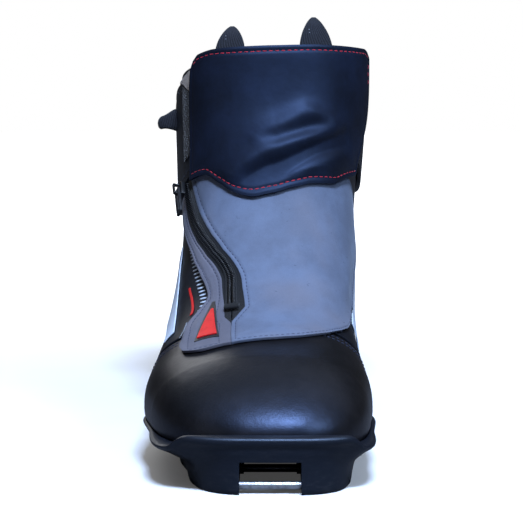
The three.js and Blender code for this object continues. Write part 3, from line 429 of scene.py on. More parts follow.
def woven(name, base, lighter, pitch=0.55, ribs=None, turn=0.0, depth=0.12, rough=0.78):
    """Cloth or webbing. Threads follow the piece's own map; ribs give a twill slant. The raised threads are
    painted lighter and the gaps darker: painted highlight and shade, mixed with random fuzz and wear.
    """
    p = Paint(name, Specular_IOR_Level=0.35, Sheen_Weight=0.12)
    across, along, _ = p.split(p.place(turn=turn, own_uv=True))
    wave = 2 * math.pi / pitch
    over = (across * wave).sine() * (along * wave).sine()
    height = over * 0.5 + 0.5
    if ribs:
        slant = ((across + along * 0.8) * (2 * math.pi / ribs)).sine() * 0.5 + 0.5
        height = height * 0.35 + slant * 0.65
    co = p.place()
    fuzz = p.noise(co, 0.3 * MM, 3, 0.7)
    worn = p.noise(co, 6 * MM, 4)
    # Painted highlight on the raised threads and painted shade between them, mixed with random fuzz and wear.
    color = p.blend((height * 0.5 + fuzz * 0.3 + worn * 0.3).between(0.25, 0.95), base, lighter)
    return p.use(color, rough + 0.15 * fuzz, p.bump(height + fuzz * 0.4, depth, 0.8))


def brushed_lining(name, base, shade):
    p = Paint(name, Specular_IOR_Level=0.25, Sheen_Weight=0.3)
    co = p.place()
    pile = p.noise(co, 0.35 * MM, 4, 0.75)
    knit = p.cells(co, 0.8 * MM)
    worn = p.noise(co, 8 * MM, 4)
    color = p.blend((worn * 0.6 + pile * 0.4).between(0.35, 0.7), shade, base)
    return p.use(color, 0.82 + 0.12 * pile, p.bump(pile + knit * 0.5, 0.25, 0.7))


def rubber(name, base, worn, rough=0.5, depth=0.05):
    """Moulded rubber: fine matt texture, scuffs near the ground and dust."""
    p = Paint(name, Specular_IOR_Level=0.5, Specular_Tint=(0.6, 0.75, 1.0, 1.0))
    co = p.place()
    _, _, z = p.split(co)
    fine = p.noise(co, 0.35 * MM, 3, 0.6)
    scuffs = p.noise(p.place((1, 1, 3)), 5 * MM, 5, 0.7)
    low = 1 - (z / MM).between(2.0, 14.0)
    share = scuffs.between(0.45, 0.75) * (0.25 + 0.6 * low)
    color = p.blend(share, base, worn)
    rough_value = rough - 0.06 + 0.14 * scuffs + 0.12 * low
    dents = p.bump(scuffs, 0.25, 0.25)
    return p.use(color, rough_value, p.bump(fine, depth, 0.6, dents))


def steel(name, tint=(0.62, 0.64, 0.68)):
    """Turned steel: fine scratches along the bar, and darker rubbed patches."""
    p = Paint(name, Metallic=1.0)
    co = p.place((0.12, 1, 1))
    scratch = p.noise(co, 0.25 * MM, 3, 0.7)
    stain = p.noise(p.place(), 3.5 * MM, 4, 0.65)
    color = p.blend(stain.between(0.4, 0.75) * 0.7, tone(*tint), tone(0.2, 0.19, 0.19))
    return p.use(color, 0.2 + 0.2 * scratch + 0.18 * stain, p.bump(scratch, 0.02, 0.6))


def moulded(name, base, lighter, rough=0.42, coat=0.0):
    p = Paint(name, Coat_Weight=coat, Coat_Roughness=0.15)
    co = p.place()
    fine = p.noise(co, 0.4 * MM, 3)
    marks = p.noise(co, 3 * MM, 4, 0.7)
    color = p.blend(marks.between(0.4, 0.75), base, lighter)
    return p.use(color, rough + 0.14 * marks, p.bump(fine * 0.6 + marks * 0.4, 0.04, 0.5))


def thread(name, base, shade):
    """Twisted sewing thread."""
    p = Paint(name, Specular_IOR_Level=0.4, Sheen_Weight=0.15)
    co = p.place()
    ply = p.noise(co, 0.3 * MM, 2)
    return p.use(p.blend(ply.between(0.35, 0.65), shade, base), 0.55 + 0.2 * ply, p.bump(ply, 0.08, 0.8))


def pile(name, base, lint):
    """Hook or loop tape: a dense short pile with light lint caught in it."""
    p = Paint(name, Sheen_Weight=0.25)
    co = p.place()
    hooks = p.cells(co, 0.55 * MM)
    fluff = p.noise(co, 0.9 * MM, 4, 0.8)
    color = p.blend((fluff > 0.66) * 0.55, base, lint)
    return p.use(color, 0.88 + 0.1 * fluff, p.bump(1 - hooks, 0.4, 0.9))


LEATHER = leather("black_leather", tone(0.0042, 0.0042, 0.0055), tone(0.0085, 0.0088, 0.012))
TOE_LEATHER = leather("toe_leather", tone(0.0045, 0.004, 0.0037), tone(0.01, 0.0085, 0.0078),
                      0.33, 0.9, 0.085, (0.42, 0.58, 1.0))
FLAP_LEATHER = leather("flap_leather", tone(0.003, 0.0037, 0.007), tone(0.0055, 0.0082, 0.019),
                       0.5, 0.6, 0.04, (0.38, 0.56, 1.0))
EDGE_LEATHER = leather("trim_leather", tone(0.0035, 0.0047, 0.0085), tone(0.0075, 0.0105, 0.019), 0.5, 0.5)
COVER_CLOTH = coated_fabric("cover_cloth", tone(0.1, 0.129, 0.198), tone(0.076, 0.094, 0.142),
                            tone(0.03, 0.036, 0.055), tone(0.125, 0.128, 0.165))
PANEL_CLOTH = coated_fabric("panel_cloth", tone(0.1, 0.097, 0.124), tone(0.075, 0.073, 0.095),
                            tone(0.03, 0.03, 0.04), tone(0.12, 0.112, 0.13))
WEBBING = woven("webbing", tone(0.004, 0.0045, 0.007), tone(0.022, 0.025, 0.036), 0.6, 1.7, 20, 0.28)
TAPE_CLOTH = woven("zip_tape", tone(0.0018, 0.002, 0.0026), tone(0.0045, 0.005, 0.007),
                   0.45, None, 0, 0.08, 0.92)
TONGUE_CLOTH = woven("tongue_cloth", tone(0.007, 0.008, 0.012), tone(0.024, 0.026, 0.034),
                     0.9, None, 45, 0.14)
LACE_CLOTH = woven("lace_braid", tone(0.008, 0.009, 0.012), tone(0.035, 0.037, 0.045), 0.5, 1.2, 0, 0.12)
LINING = brushed_lining("beige_lining", tone(0.37, 0.295, 0.235), tone(0.24, 0.19, 0.15))
SOLE = rubber("sole_rubber", tone(0.0045, 0.0056, 0.0095), tone(0.022, 0.022, 0.026), 0.42)
TREAD = rubber("tread_rubber", tone(0.03, 0.032, 0.037), tone(0.075, 0.073, 0.07), 0.7, 0.12)
STEEL = steel("bar_steel")
# A darker copy of the bar steel for the rear bar: painted shade, for the shadow it sits in behind the front
# bar.
SHADED_STEEL = steel("shade_painted_steel", (0.1, 0.105, 0.12))
NYLON = moulded("nylon", tone(0.008, 0.0085, 0.01), tone(0.02, 0.021, 0.025))
GLOSS = moulded("gloss_black", tone(0.003, 0.0035, 0.0045), tone(0.007, 0.0075, 0.01), 0.3, 0.25)
RED = moulded("badge_red", tone(0.58, 0.006, 0.006), tone(0.46, 0.005, 0.006), 0.5)
WHITE = moulded("white_coat", tone(0.62, 0.71, 0.83), tone(0.5, 0.58, 0.7), 0.42)
BOARD = brushed_lining("stiff_board", tone(0.25, 0.21, 0.15), tone(0.18, 0.15, 0.11))
RED_THREAD = thread("red_thread", tone(0.5, 0.008, 0.03), tone(0.26, 0.005, 0.017))
BLUE_THREAD = thread("navy_thread", tone(0.012, 0.02, 0.06), tone(0.006, 0.01, 0.03))
PALE_THREAD = thread("pale_thread", tone(0.3, 0.33, 0.4), tone(0.16, 0.17, 0.2))
PILE = pile("loop_pile", tone(0.006, 0.0058, 0.006), tone(0.045, 0.038, 0.034))
SLOTS = {material.name: slot for slot, materials in (
    ("leatherette", (LEATHER, TOE_LEATHER, FLAP_LEATHER, EDGE_LEATHER)),
    ("black_textile", (WEBBING, TAPE_CLOTH, TONGUE_CLOTH, LACE_CLOTH, BLUE_THREAD, PALE_THREAD, PILE)),
    ("cover_fabric", (COVER_CLOTH,)), ("panel_fabric", (PANEL_CLOTH,)), ("lining", (LINING,)),
    ("sole_rubber", (SOLE,)), ("tread_rubber", (TREAD,)), ("steel", (STEEL, SHADED_STEEL)),
    ("nylon", (NYLON, GLOSS)), ("red_trim", (RED, RED_THREAD)), ("white_panel", (WHITE,)),
) for material in materials}


# ---------------------------------------------------------------- making pieces
def deselect():
    for thing in bpy.context.selected_objects:
        thing.select_set(False)


def only(thing):
    deselect()
    thing.select_set(True)
    bpy.context.view_layer.objects.active = thing


def apply_modifier(thing, kind, **settings):
    only(thing)
    modifier = thing.modifiers.new(kind.lower(), kind)
    for key, value in settings.items():
        setattr(modifier, key, value)
    bpy.ops.object.modifier_apply(modifier=modifier.name)


def round_edges(thing, width, segments, angle, **settings):
    """Rounds the edges that turn by more than an angle in degrees."""
    apply_modifier(thing, "BEVEL", width=width * MM, segments=segments, limit_method="ANGLE",
                   angle_limit=math.radians(angle), **settings)


def finish_piece(thing, name, material, body="boot", replaces=(), slot=None, angle=40):
    thing.name = name
    thing.data.name = name
    thing.data.materials.clear()
    thing.data.materials.append(material)
    only(thing)
    bpy.ops.object.shade_smooth_by_angle(angle=math.radians(angle))
    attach(thing, body)
    slot or SLOTS[material.name]
    if replaces:
        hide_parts(*replaces)
    return thing


def object_from(points, faces, name="piece"):
    mesh = bpy.data.meshes.new(name)
    mesh.from_pydata([tuple(p) for p in points], [], [tuple(f) for f in faces])
    mesh.update()
    thing = bpy.data.objects.new(name, mesh)
    bpy.context.scene.collection.objects.link(thing)
    return thing


@contextmanager
def whole_mesh(thing):
    """Edit mode with all of the mesh selected."""
    only(thing)
    bpy.ops.object.mode_set(mode="EDIT")
    bpy.ops.mesh.select_all(action="SELECT")
    yield
    bpy.ops.object.mode_set(mode="OBJECT")


def outward(thing):
    with whole_mesh(thing):
        bpy.ops.mesh.remove_doubles(threshold=1e-6)
        bpy.ops.mesh.normals_make_consistent(inside=False)


def tube_faces(rows, columns, first_cap=True):
    """Faces round rows + 1 closed rings of places, and the caps at their ends."""
    faces = [[i * columns + j, i * columns + (j + 1) % columns, (i + 1) * columns + (j + 1) % columns,
              (i + 1) * columns + j] for i in range(rows) for j in range(columns)]
    if first_cap:
        faces.append(list(range(columns)))
    return faces + [[rows * columns + j for j in range(columns)]]


def give_map(thing, place):
    """The piece's own map in millimetres: place gives it for a vertex's number."""
    layer = thing.data.uv_layers.new(name="UVMap")
    for loop in thing.data.loops:
        layer.data[loop.index].uv = place(loop.vertex_index)


def coordinates(thing):
    flat = np.zeros(len(thing.data.vertices) * 3)
    thing.data.vertices.foreach_get("co", flat)
    return flat.reshape(-1, 3)


def value(limit, *at):
    """A limit or depth that may be a number or depend on the place."""
    return limit(*at) if callable(limit) else np.full(np.shape(at[0]), float(limit))


class Sheet:
    """A patch of the last: limits in v that may depend on a, limits in a that may depend on v, a depth
    in millimetres that may depend on both, and relief added to it."""

    def __init__(self, v, a, depth, relief=None):
        self.v, self.a, self.depth, self.relief = v, a, depth, relief
        share = np.linspace(0, 1, 25)
        self.height = self._length(np.full(25, 0.5), share)
        self.width = self._length(share, np.full(25, 0.5))

    def _length(self, u, w):
        spots = self.points(u, w, plain=True) / MM
        return float(np.linalg.norm(np.diff(spots, axis=0), axis=1).sum())

    def where(self, u, w):
        a = mix(value(self.a[0], np.full(np.shape(u), 6.0)), value(self.a[1], np.full(np.shape(u), 6.0)), u)
        v = mix(value(self.v[0], a), value(self.v[1], a), w)
        for _ in range(14):
            v = mix(v, mix(value(self.v[0], a), value(self.v[1], a), w), 0.7)
            a = mix(value(self.a[0], v), value(self.a[1], v), u)
        return mix(value(self.v[0], a), value(self.v[1], a), w), a

    def points(self, u, w, lift=0.0, plain=False):
        u, w = np.broadcast_arrays(np.asarray(u, float), np.asarray(w, float))
        v, a = self.where(u, w)
        depth = value(self.depth, v, a)
        if self.relief and not plain:
            depth = depth + self.relief(v, a, self.inside(u, w))
        return on_last(v, a, depth + lift)

    def inside(self, u, w):
        """Distances in millimetres to the patch's low-a, high-a, low-v and high-v borders."""
        return u * self.width, (1 - u) * self.width, w * self.height, (1 - w) * self.height

    def border(self, side, inset, count, trim=0.0, lift=0.0, span=(0, 1)):
        """A line along one border, inset in millimetres, short of the corners by trim."""
        across = side in ("bottom", "top")
        total = self.width if across else self.height
        run = np.linspace(max(trim / total, span[0]), min(1 - trim / total, span[1]), count)
        off = np.full(count, inset / (self.height if across else self.width))
        off = 1 - off if side in ("top", "right") else off
        return self.points(run, off, lift) if across else self.points(off, run, lift)


def outwards(side, near, far, middle=lambda v: 0):
    """Limits in a for a patch on one side of a middle line, from near it to far from it."""
    limits = [lambda v: middle(v) + side * near(v), lambda v: middle(v) + side * far(v)]
    return limits if side > 0 else limits[::-1]


def nearest(edges):
    return np.minimum.reduce(edges)


def sewn_edge(edges, inset=2.6, depth=0.45, roll=0.5):
    """Relief of a stitched border: the rim swells a little outside a dip along the seam."""
    d = nearest(edges)
    return roll * smooth(d / 1.2) - depth * np.exp(-((d - inset) / 0.9) ** 2)


def leaf(name, sheet, thickness, steps, material, body="boot", replaces=(), slot=None, bevel=0.35):
    """A sheet with a real thickness and rounded edges. Its own map is in millimetres."""
    rows, columns = steps
    deselect()
    bpy.ops.mesh.primitive_grid_add(x_subdivisions=columns, y_subdivisions=rows, size=1)
    thing = bpy.context.active_object
    flat = coordinates(thing)
    spots = sheet.points(flat[:, 0] + 0.5, flat[:, 1] + 0.5)
    thing.data.vertices.foreach_set("co", spots.ravel())
    uv = np.zeros(len(thing.data.loops) * 2)
    thing.data.uv_layers[0].data.foreach_get("uv", uv)
    uv = (uv.reshape(-1, 2) * [sheet.width, sheet.height]).ravel()
    thing.data.uv_layers[0].data.foreach_set("uv", uv)
    thing.data.update()
    with whole_mesh(thing):
        bpy.ops.mesh.remove_doubles(threshold=1e-5)
    apply_modifier(thing, "SOLIDIFY", thickness=thickness * MM, offset=-1.0)
    round_edges(thing, bevel, 3, 50)
    return finish_piece(thing, name, material, body, replaces, slot)


def resample(path, pitch):
    """Places pitch millimetres apart along a path, and the direction there."""
    steps = np.linalg.norm(np.diff(path, axis=0), axis=1)
    length = np.concatenate([[0], np.cumsum(steps)])
    count = max(int(length[-1] / (pitch * MM)), 1)
    at = (np.arange(count) + 0.5) * length[-1] / count
    ahead = np.minimum(at + 0.3 * pitch * MM, length[-1])
    back = np.maximum(at - 0.3 * pitch * MM, 0)

    def spot(where):
        return np.stack([np.interp(where, length, path[:, k]) for k in range(3)], -1)

    tangent = spot(ahead) - spot(back)
    return spot(at), tangent / np.linalg.norm(tangent, axis=1, keepdims=True)


def surface_up(spots):
    """The outward direction at places near the boot, from the last's middle line."""
    middle = np.stack([np.full(len(spots), SHIFT_X * MM), spots[:, 1], spots[:, 2]], -1)
    middle[:, 1] += 0.035
    middle[:, 2] = np.minimum(middle[:, 2], 0.035 + 0.9 * np.maximum(spots[:, 2] - 0.05, 0))
    out = spots - middle
    return out / np.linalg.norm(out, axis=1, keepdims=True)


def bead_template(segments=8, rings=5):
    deselect()
    bpy.ops.mesh.primitive_uv_sphere_add(segments=segments, ring_count=rings, radius=1)
    ball = bpy.context.active_object
    points = np.array([tuple(v.co) for v in ball.data.vertices])
    faces = [tuple(p.vertices) for p in ball.data.polygons]
    bpy.data.objects.remove(ball, do_unlink=True)
    return points, faces


BEAD = bead_template()


def beads(name, spots, tangents, ups, size, material, body="boot", replaces=(), slot=None):
    """One piece of many rounded beads: size is their half length, half width and half height in mm."""
    points, faces = BEAD
    side = np.cross(ups, tangents)
    side /= np.linalg.norm(side, axis=1, keepdims=True)
    up = np.cross(tangents, side)
    axes = np.stack([tangents, side, up], 1)
    half = np.array(size) * MM
    # The template's z runs between its poles, so it becomes the bead's length.
    local = points[:, [2, 0, 1]] * half
    placed = np.einsum("pk,nkj->npj", local, axes) + spots[:, None, :]
    count = len(points)
    all_faces = [[i + n * count for i in face] for n in range(len(spots)) for face in faces]
    thing = object_from(placed.reshape(-1, 3), all_faces, name)
    outward(thing)
    return finish_piece(thing, name, material, body, replaces, slot, 80)


# Half length, half width and half height of one stitch, in millimetres.
VAMP_STITCH = (0.95, 0.26, 0.2)
COVER_STITCH = (0.95, 0.24, 0.2)
CUFF_STITCH = (1.0, 0.25, 0.2)
FLAP_STITCH = (1.15, 0.3, 0.26)
LOOP_STITCH = (0.34, 0.16, 0.12)
DASH = (0.35, 0.6, 0.15)


def stitches(name, path, pitch, size, material, body="boot"):
    """A row of stitches pitch millimetres apart along a path of places in metres."""
    spots, tangents = resample(path, pitch)
    return beads(name, spots, tangents, surface_up(spots), size, material, body)


def trail(places, depth, count=160):
    """A smooth line over the last through a few (v, a) places, at a depth."""
    places = np.array(places, float)
    padded = np.vstack([2 * places[0] - places[1], places, 2 * places[-1] - places[-2]])
    u = np.linspace(0, len(places) - 1.0001, count)
    i = np.floor(u).astype(int)
    t = (u - i)[:, None]
    va = catmull(padded[i], padded[i + 1], padded[i + 2], padded[i + 3], t)
    return on_last(va[:, 0], va[:, 1], depth)


def tube(name, path, radius, material, replaces=(), slot=None, sides=10):
    """A closed round tube along a path of places in metres, with its map in millimetres."""
    tangents = np.gradient(path, axis=0)
    tangents /= np.linalg.norm(tangents, axis=1, keepdims=True)
    up = np.array([0, 0, 1.0])
    side = np.cross(tangents, up)
    side /= np.linalg.norm(side, axis=1, keepdims=True)
    top = np.cross(side, tangents)
    turn = np.linspace(0, 2 * np.pi, sides, endpoint=False)
    ring = side[:, None] * np.cos(turn)[None, :, None] + top[:, None] * np.sin(turn)[None, :, None]
    points = (path[:, None] + ring * radius * MM).reshape(-1, 3)
    thing = object_from(points, tube_faces(len(path) - 1, sides), name)
    outward(thing)
    length = np.concatenate([[0], np.cumsum(np.linalg.norm(np.diff(path, axis=0), axis=1))]) / MM
    wide = 2 * math.pi * radius / sides
    give_map(thing, lambda i: (length[min(i // sides, len(path) - 1)], i % sides * wide))
    return finish_piece(thing, name, material, "boot", replaces, slot, 80)


def softened(name, node, material, width, segments, body="boot", slot=None):
    """A CAD piece with its facets merged and its edges rounded."""
    thing = nodes[node].copy()
    thing.data = nodes[node].data.copy()
    for key in list(thing.keys()):
        del thing[key]
    thing.parent = None
    bpy.context.scene.collection.objects.link(thing)
    with whole_mesh(thing):
        bpy.ops.mesh.remove_doubles(threshold=1e-6)
        bpy.ops.mesh.dissolve_limited(angle_limit=math.radians(2))
    round_edges(thing, width, segments, 30)
    return finish_piece(thing, name, material, body, (node,), slot)


def cube_cutter(low, high):
    """A box between two corners in millimetres of the last's own frame."""
    low, high = np.array(low, float), np.array(high, float)
    deselect()
    bpy.ops.mesh.primitive_cube_add(size=1)
    box = bpy.context.active_object
    middle = ((low + high) / 2 + [SHIFT_X, 0, 0]) * MM
    box.data.transform(Matrix.Translation(Vector(middle)) @ Matrix.Diagonal((*((high - low) * MM), 1)))
    return box


def joined(things):
    deselect()
    for thing in things:
        thing.select_set(True)
    bpy.context.view_layer.objects.active = things[0]
    bpy.ops.object.join()
    return things[0]


def cut(thing, cutter):
    apply_modifier(thing, "BOOLEAN", object=cutter, operation="DIFFERENCE", solver="EXACT")
    bpy.data.objects.remove(cutter, do_unlink=True)


# ---------------------------------------------------------------- the sole
CAP_Y = -100.0
TOE_Y, HEEL_Y = -149.0, 149.0
HEEL_START_Y = 90.0
SOLE_TOE_MID = 2.0
TREADS = ("lateral_forefoot_tread", "medial_forefoot_tread", "lateral_heel_tread", "medial_heel_tread")
lateral_edge = curve((-100, 56.8), (-75, 60.8), (-45, 59), (-15, 54.5), (30, 49), (90, 46.5))
medial_edge = curve((-100, 48.8), (-75, 50.2), (-45, 48), (-15, 45), (30, 43.4), (90, 45))
rim_height = curve((TOE_Y, 27.5), (TOE_Y + 7, 27), (TOE_Y + 13, 21.5), (mix(TOE_Y, CAP_Y, 0.6), 20.5),
                   (CAP_Y + 22, 22), (CAP_Y + 45, 20), (CAP_Y + 85, 19),
                   (mix(CAP_Y, HEEL_START_Y, 0.75), 22), (HEEL_START_Y, 28), (HEEL_Y - 15, 31), (HEEL_Y, 31))
lateral_taper = curve((CAP_Y, 18), (CAP_Y + 60, 16), (HEEL_START_Y - 70, 8), (HEEL_START_Y, 5))
medial_taper = curve((CAP_Y, 11.5), (CAP_Y + 60, 9.5), (HEEL_START_Y - 70, 8), (HEEL_START_Y, 5))
wall_share = curve((0, 1), (0.2, 0.96), (0.5, 0.86), (0.6, 0.76), (0.76, 0.38), (0.86, 0.1), (0.95, 0),
                   (1, 0))


def sole_bottom(y):
    return 3.5 * smooth((y - CAP_Y - 90) / 22) * smooth((HEEL_START_Y - 25 - y) / 22)


def sole_ring(y, c, end, share, trim):
    roundness = bulge(c, 3.2) if end == "toe" else bulge(c, 2.4) if end == "heel" else 1
    inset = 2.5 * share + trim
    shift = inset * c if end == "toe" else -inset * c if end == "heel" else 0
    mid = mix(0, SOLE_TOE_MID, c) if end == "toe" else 0
    left = mid - (lateral_edge(y) - share * lateral_taper(y) - trim) * roundness
    right = mid + (medial_edge(y) - share * medial_taper(y) - trim) * roundness
    return y + shift, left, right


def sole_blank():
    """The cup's outside: rings of places from the toe to the heel, each from its rim down and up again."""
    ends, run = 26, 84
    rounded = [math.cos(math.pi / 2 * i / ends) for i in range(ends)]
    places = [(mix(CAP_Y, TOE_Y, c), c, "toe") for c in rounded]
    places += [(mix(CAP_Y, HEEL_START_Y, i / run), 0.0, "") for i in range(run + 1)]
    places += [(mix(HEEL_START_Y, HEEL_Y, c), c, "heel") for c in reversed(rounded)]
    # Share of the wall's height, and how far the outline draws in there: a rounded lip over a groove.
    levels = [(1, 1.7), (0.992, 0.8), (0.97, 0.05), (0.94, -0.35), (0.905, -0.45), (0.87, -0.25),
              (0.84, 0.2), (0.815, 0.45), (0.78, 0.4), (0.74, 0.2), (0.7, 0.05), (0.66, 0), (0.6, 0),
              (0.52, 0), (0.4, 0), (0.25, 0), (0.1, 0), (0.04, 0.15), (0.0, 0.9)]
    points = []
    for y, c, end in places:
        rim, bottom = float(rim_height(y)), float(sole_bottom(y))
        rings = [(mix(bottom, rim, h), *sole_ring(y, c, end, float(wall_share(h)), trim))
                 for h, trim in levels]
        points += [(left, at, z) for z, at, left, _ in rings]
        points += [(right, at, z) for z, at, _, right in reversed(rings)]
    faces = tube_faces(len(places) - 1, 2 * len(levels))
    thing = object_from((np.array(points) + [SHIFT_X, 0, 0]) * MM, faces, "outsole_blank")
    outward(thing)
    return thing


def foot_plug(depth, top_v):
    """The inside of the cup: the last at a depth, closed flat above."""
    rows, columns = 90, 120
    v = np.linspace(0, top_v, rows + 1)
    a = np.linspace(-180, 180, columns, endpoint=False)
    grid = on_last(v[:, None], a[None, :], depth).reshape(-1, 3)
    thing = object_from(grid, tube_faces(rows, columns, first_cap=False), "plug")
    outward(thing)
    return thing


def build_sole():
    """The moulded cup: hollowed for the foot, then cut for the binding plate, guide groove, lugs and pads."""
    blank = sole_blank()
    cut(blank, foot_plug(0.55, 10.2))
    middle = np.array([SHIFT_X, 0, 0])
    plate_low, plate_high = (corner - middle for corner in node_box("binding_plate"))
    (left, front, _), (right, back, roof) = plate_low, plate_high
    half = (right - left) / 2 - 3
    for low, high in (((left - 0.3, front - 0.3, -2), (right + 0.3, back + 0.3, 12.9)),
                      ((-half, TOE_Y - 6, -2), (half, front + 2, roof - 2)),
                      ((left - 0.3, front - 0.3, 12), (right + 0.3, front + 22, roof - 0.6)),
                      ((-12.5, back - 1, -2), (12.5, HEEL_Y - 26, 7.5))):
        cut(blank, cube_cutter(low, high))
    lugs = []
    for start, stop in ((CAP_Y - 28, CAP_Y + 84), (HEEL_START_Y - 10, HEEL_Y - 10)):
        for y in np.arange(start, stop, 13.0):
            lugs.append(cube_cutter((-90, y, -2), (left - 1.5, y + 4, 3)))
            lugs.append(cube_cutter((right + 1.5, y, -2), (90, y + 4, 3)))
    cut(blank, joined(lugs))
    pads = [[corner - middle for corner in node_box(name)] for name in TREADS]
    cut(blank, joined([cube_cutter(low - [0.3, 0.3, 2], high + 0.3) for low, high in pads]))
    round_edges(blank, 0.45, 2, 48, use_clamp_overlap=True)
    finish_piece(blank, "rubber_outsole", SOLE, replaces=("outsole",), angle=35)


build_sole()


def build_bars():
    for node, name in (("front_binding_bar", "front_bar"), ("rear_binding_bar", "rear_bar")):
        low, high = node_box(node)
        radius = (high[2] - low[2]) / 2 * MM
        deselect()
        bpy.ops.mesh.primitive_cylinder_add(vertices=64, radius=radius, depth=(high[0] - low[0]) * MM)
        bar = bpy.context.active_object
        middle = Vector((low + high) / 2 * MM)
        bar.data.transform(Matrix.Translation(middle) @ Matrix.Rotation(math.pi / 2, 4, "Y"))
        bar.matrix_world = Matrix.Identity(4)
        round_edges(bar, 0.4, 3, 30)
        # The rear bar gets the darker steel: painted shade, as it lies in the shadow inside the sole.
        finish_piece(bar, name, STEEL if name == "front_bar" else SHADED_STEEL, replaces=(node,))


build_bars()
softened("plate_shell", "binding_plate", NYLON, 0.3, 2)
for tread in TREADS:
    softened(tread + "_pad", tread, TREAD, 0.5, 2)

# ---------------------------------------------------------------- the upper
vamp = Sheet((0, vamp_edge), (-LASTING_ANGLE, LASTING_ANGLE), 0.0)
leaf("vamp_leather", vamp, SHELL, (120, 200), TOE_LEATHER, replaces=("toe_vamp",))
for row, inset in (("outer", 1.8), ("inner", 4.2)):
    line = vamp.border("top", inset, 700, 4, 0.06)
    stitches("vamp_" + row + "_stitches", line, 2.6, VAMP_STITCH, BLUE_THREAD)
backing = Sheet((lambda a: vamp_edge(a) - 0.2, lambda a: vamp_edge(a) + SEAM_V + 0.2),
                (-LASTING_ANGLE, LASTING_ANGLE), -SHELL - 0.12)
leaf("vamp_seam_backing", backing, 0.5, (8, 160), TAPE_CLOTH, bevel=0.1)
for side, word in SIDES:
    limits = outwards(side, throat_angle, lasting_angle)
    quarter = Sheet((lambda a: vamp_edge(a) + SEAM_V, QUARTER_TOP_V), limits, 0.0)
    leaf(word + "_quarter_leather", quarter, SHELL, (150, 130), LEATHER, replaces=(word + "_quarter",))
backstay = Sheet((9.35, QUARTER_TOP_V - 0.05), (174, 186), GAP + BACKSTAY,
                 lambda v, a, edges: sewn_edge(edges, 1.8, 0.3, 0.0))
leaf("heel_strip", backstay, BACKSTAY, (90, 16), EDGE_LEATHER, replaces=("backstay",))
BOOTIE_PANELS = ("bootie_base", "bootie_toe_box", "lateral_bootie_panel", "medial_bootie_panel")
bootie = Sheet((0.2, COLLAR_V), (lambda v: tongue_angle(v) * smooth((v - 5.2) / 0.4) + 1.0,
                                 lambda v: 359.0 - tongue_angle(v) * smooth((v - 5.2) / 0.4)), LINER_OUT)
leaf("bootie_lining", bootie, LINER, (110, 150), LINING, replaces=BOOTIE_PANELS, bevel=0.8)
footbed = Sheet((2.4, 8.5), (lambda v: mix(133, 150, smooth((v - 7) / 1.5)),
                             lambda v: mix(227, 210, smooth((v - 7) / 1.5))), LINER_IN - 2 * EASE)
leaf("footbed_cloth", footbed, 3.4, (60, 24), TONGUE_CLOTH, replaces=("footbed",), bevel=0.8)


def build_tongue():
    def channels(v, a, edges):
        return 1.1 * np.abs(np.sin(np.pi * v * 1.6)) ** 0.5 * smooth(nearest(edges) / 4) - 1.1

    sheet = Sheet((5.42, 11.7), (lambda v: 1.5 - tongue_angle(v), lambda v: tongue_angle(v) - 1.5),
                  LINER_OUT + 0.4, channels)
    leaf("padded_tongue", sheet, LINER - 0.9, (160, 40), TONGUE_CLOTH, replaces=("tongue",), bevel=0.9)


build_tongue()


def build_lace():
    rows = 9
    route = []
    for row in range(rows):
        v = mix(5.75, 10.4, row / (rows - 1))
        turn = -1 if row % 2 else 1
        for share in (-1, -0.5, 0, 0.5, 1):
            route.append((v, turn * share * (throat_angle(np.array(v)) + 3.8)))
    path = trail(route, GAP + 0.9 + 0.25, 420)
    tube("braided_lace", path, 0.88, LACE_CLOTH, replaces=("lace",))
    for side, word in SIDES:
        if side > 0:
            limits = (lambda v: throat_angle(v) + 7.2, lambda v: throat_angle(v) + 12.2)
        else:
            limits = (lambda v: np.maximum(-throat_angle(v) - 8, cover_lateral(v) + 1),
                      lambda v: -throat_angle(v) - 2)
        stay = Sheet((5.6, 10.6), limits, CUFF_IN + 1.4)
        leaf(word + "_lace_stay", stay, 1.3, (120, 10), WEBBING, replaces=(word + "_eyestay",))


build_lace()


# ---------------------------------------------------------------- the lace cover and its zip
def soft_waves(v, a):
    """Faint hand-made unevenness of stretched cloth, in millimetres."""
    slow = np.sin(2.1 * v + 0.06 * a + 0.7) * np.sin(0.045 * a - 0.8 * v)
    return 0.35 * slow + 0.18 * np.sin(0.11 * a + 3.1 * v)


def cover_relief(v, a, edges):
    d = nearest(edges)
    belly = 0.5 * np.exp(-((v - 6.6) / 0.9) ** 2 - ((a - 22) / 20) ** 2)
    tuck = -0.45 * np.exp(-((v - 5.9 - 0.012 * a) / 0.16) ** 2 - ((a - 45) / 16) ** 2)
    return (soft_waves(v, a) + belly + tuck) * smooth(d / 9) + sewn_edge(edges, 2.4, 0.4, 0.25) - 0.25


def build_cover():
    depth = lambda v, a: cover_lift(v, a) + COVER
    cover = Sheet((cover_bottom, lambda a: mix(9.2, 9, smooth(np.abs(a) / 60))),
                  (lambda v: zip_centre(v) + zip_spread(v, 1), cover_medial), depth, cover_relief)
    leaf("lace_cover_cloth", cover, COVER - 0.2, (200, 150), COVER_CLOTH, replaces=("lace_cover",))
    for name, border, inset in (("hem", "bottom", 2.4), ("zip", "left", 2.6), ("side", "right", 2.4)):
        line = cover.border(border, inset, 300, 3, 0.02)
        stitches("cover_" + name + "_stitches", line, 2.6, COVER_STITCH, BLUE_THREAD)
    panel = Sheet((cover_bottom, 8.95), (cover_lateral, lambda v: zip_centre(v) - zip_spread(v, -1)), depth,
                  lambda v, a, edges: sewn_edge(edges, 2.0, 0.35, 0.2) - 0.2)
    leaf("lateral_panel_cloth", panel, COVER - 0.2, (200, 50), PANEL_CLOTH, replaces=("lateral_cover_panel",))
    for border in ("left", "right", "bottom"):
        line = panel.border(border, 1.9, 260, 2, 0.02)
        stitches("panel_" + border + "_stitches", line, 2.5, COVER_STITCH, BLUE_THREAD)
    return depth


cover_depth = build_cover()


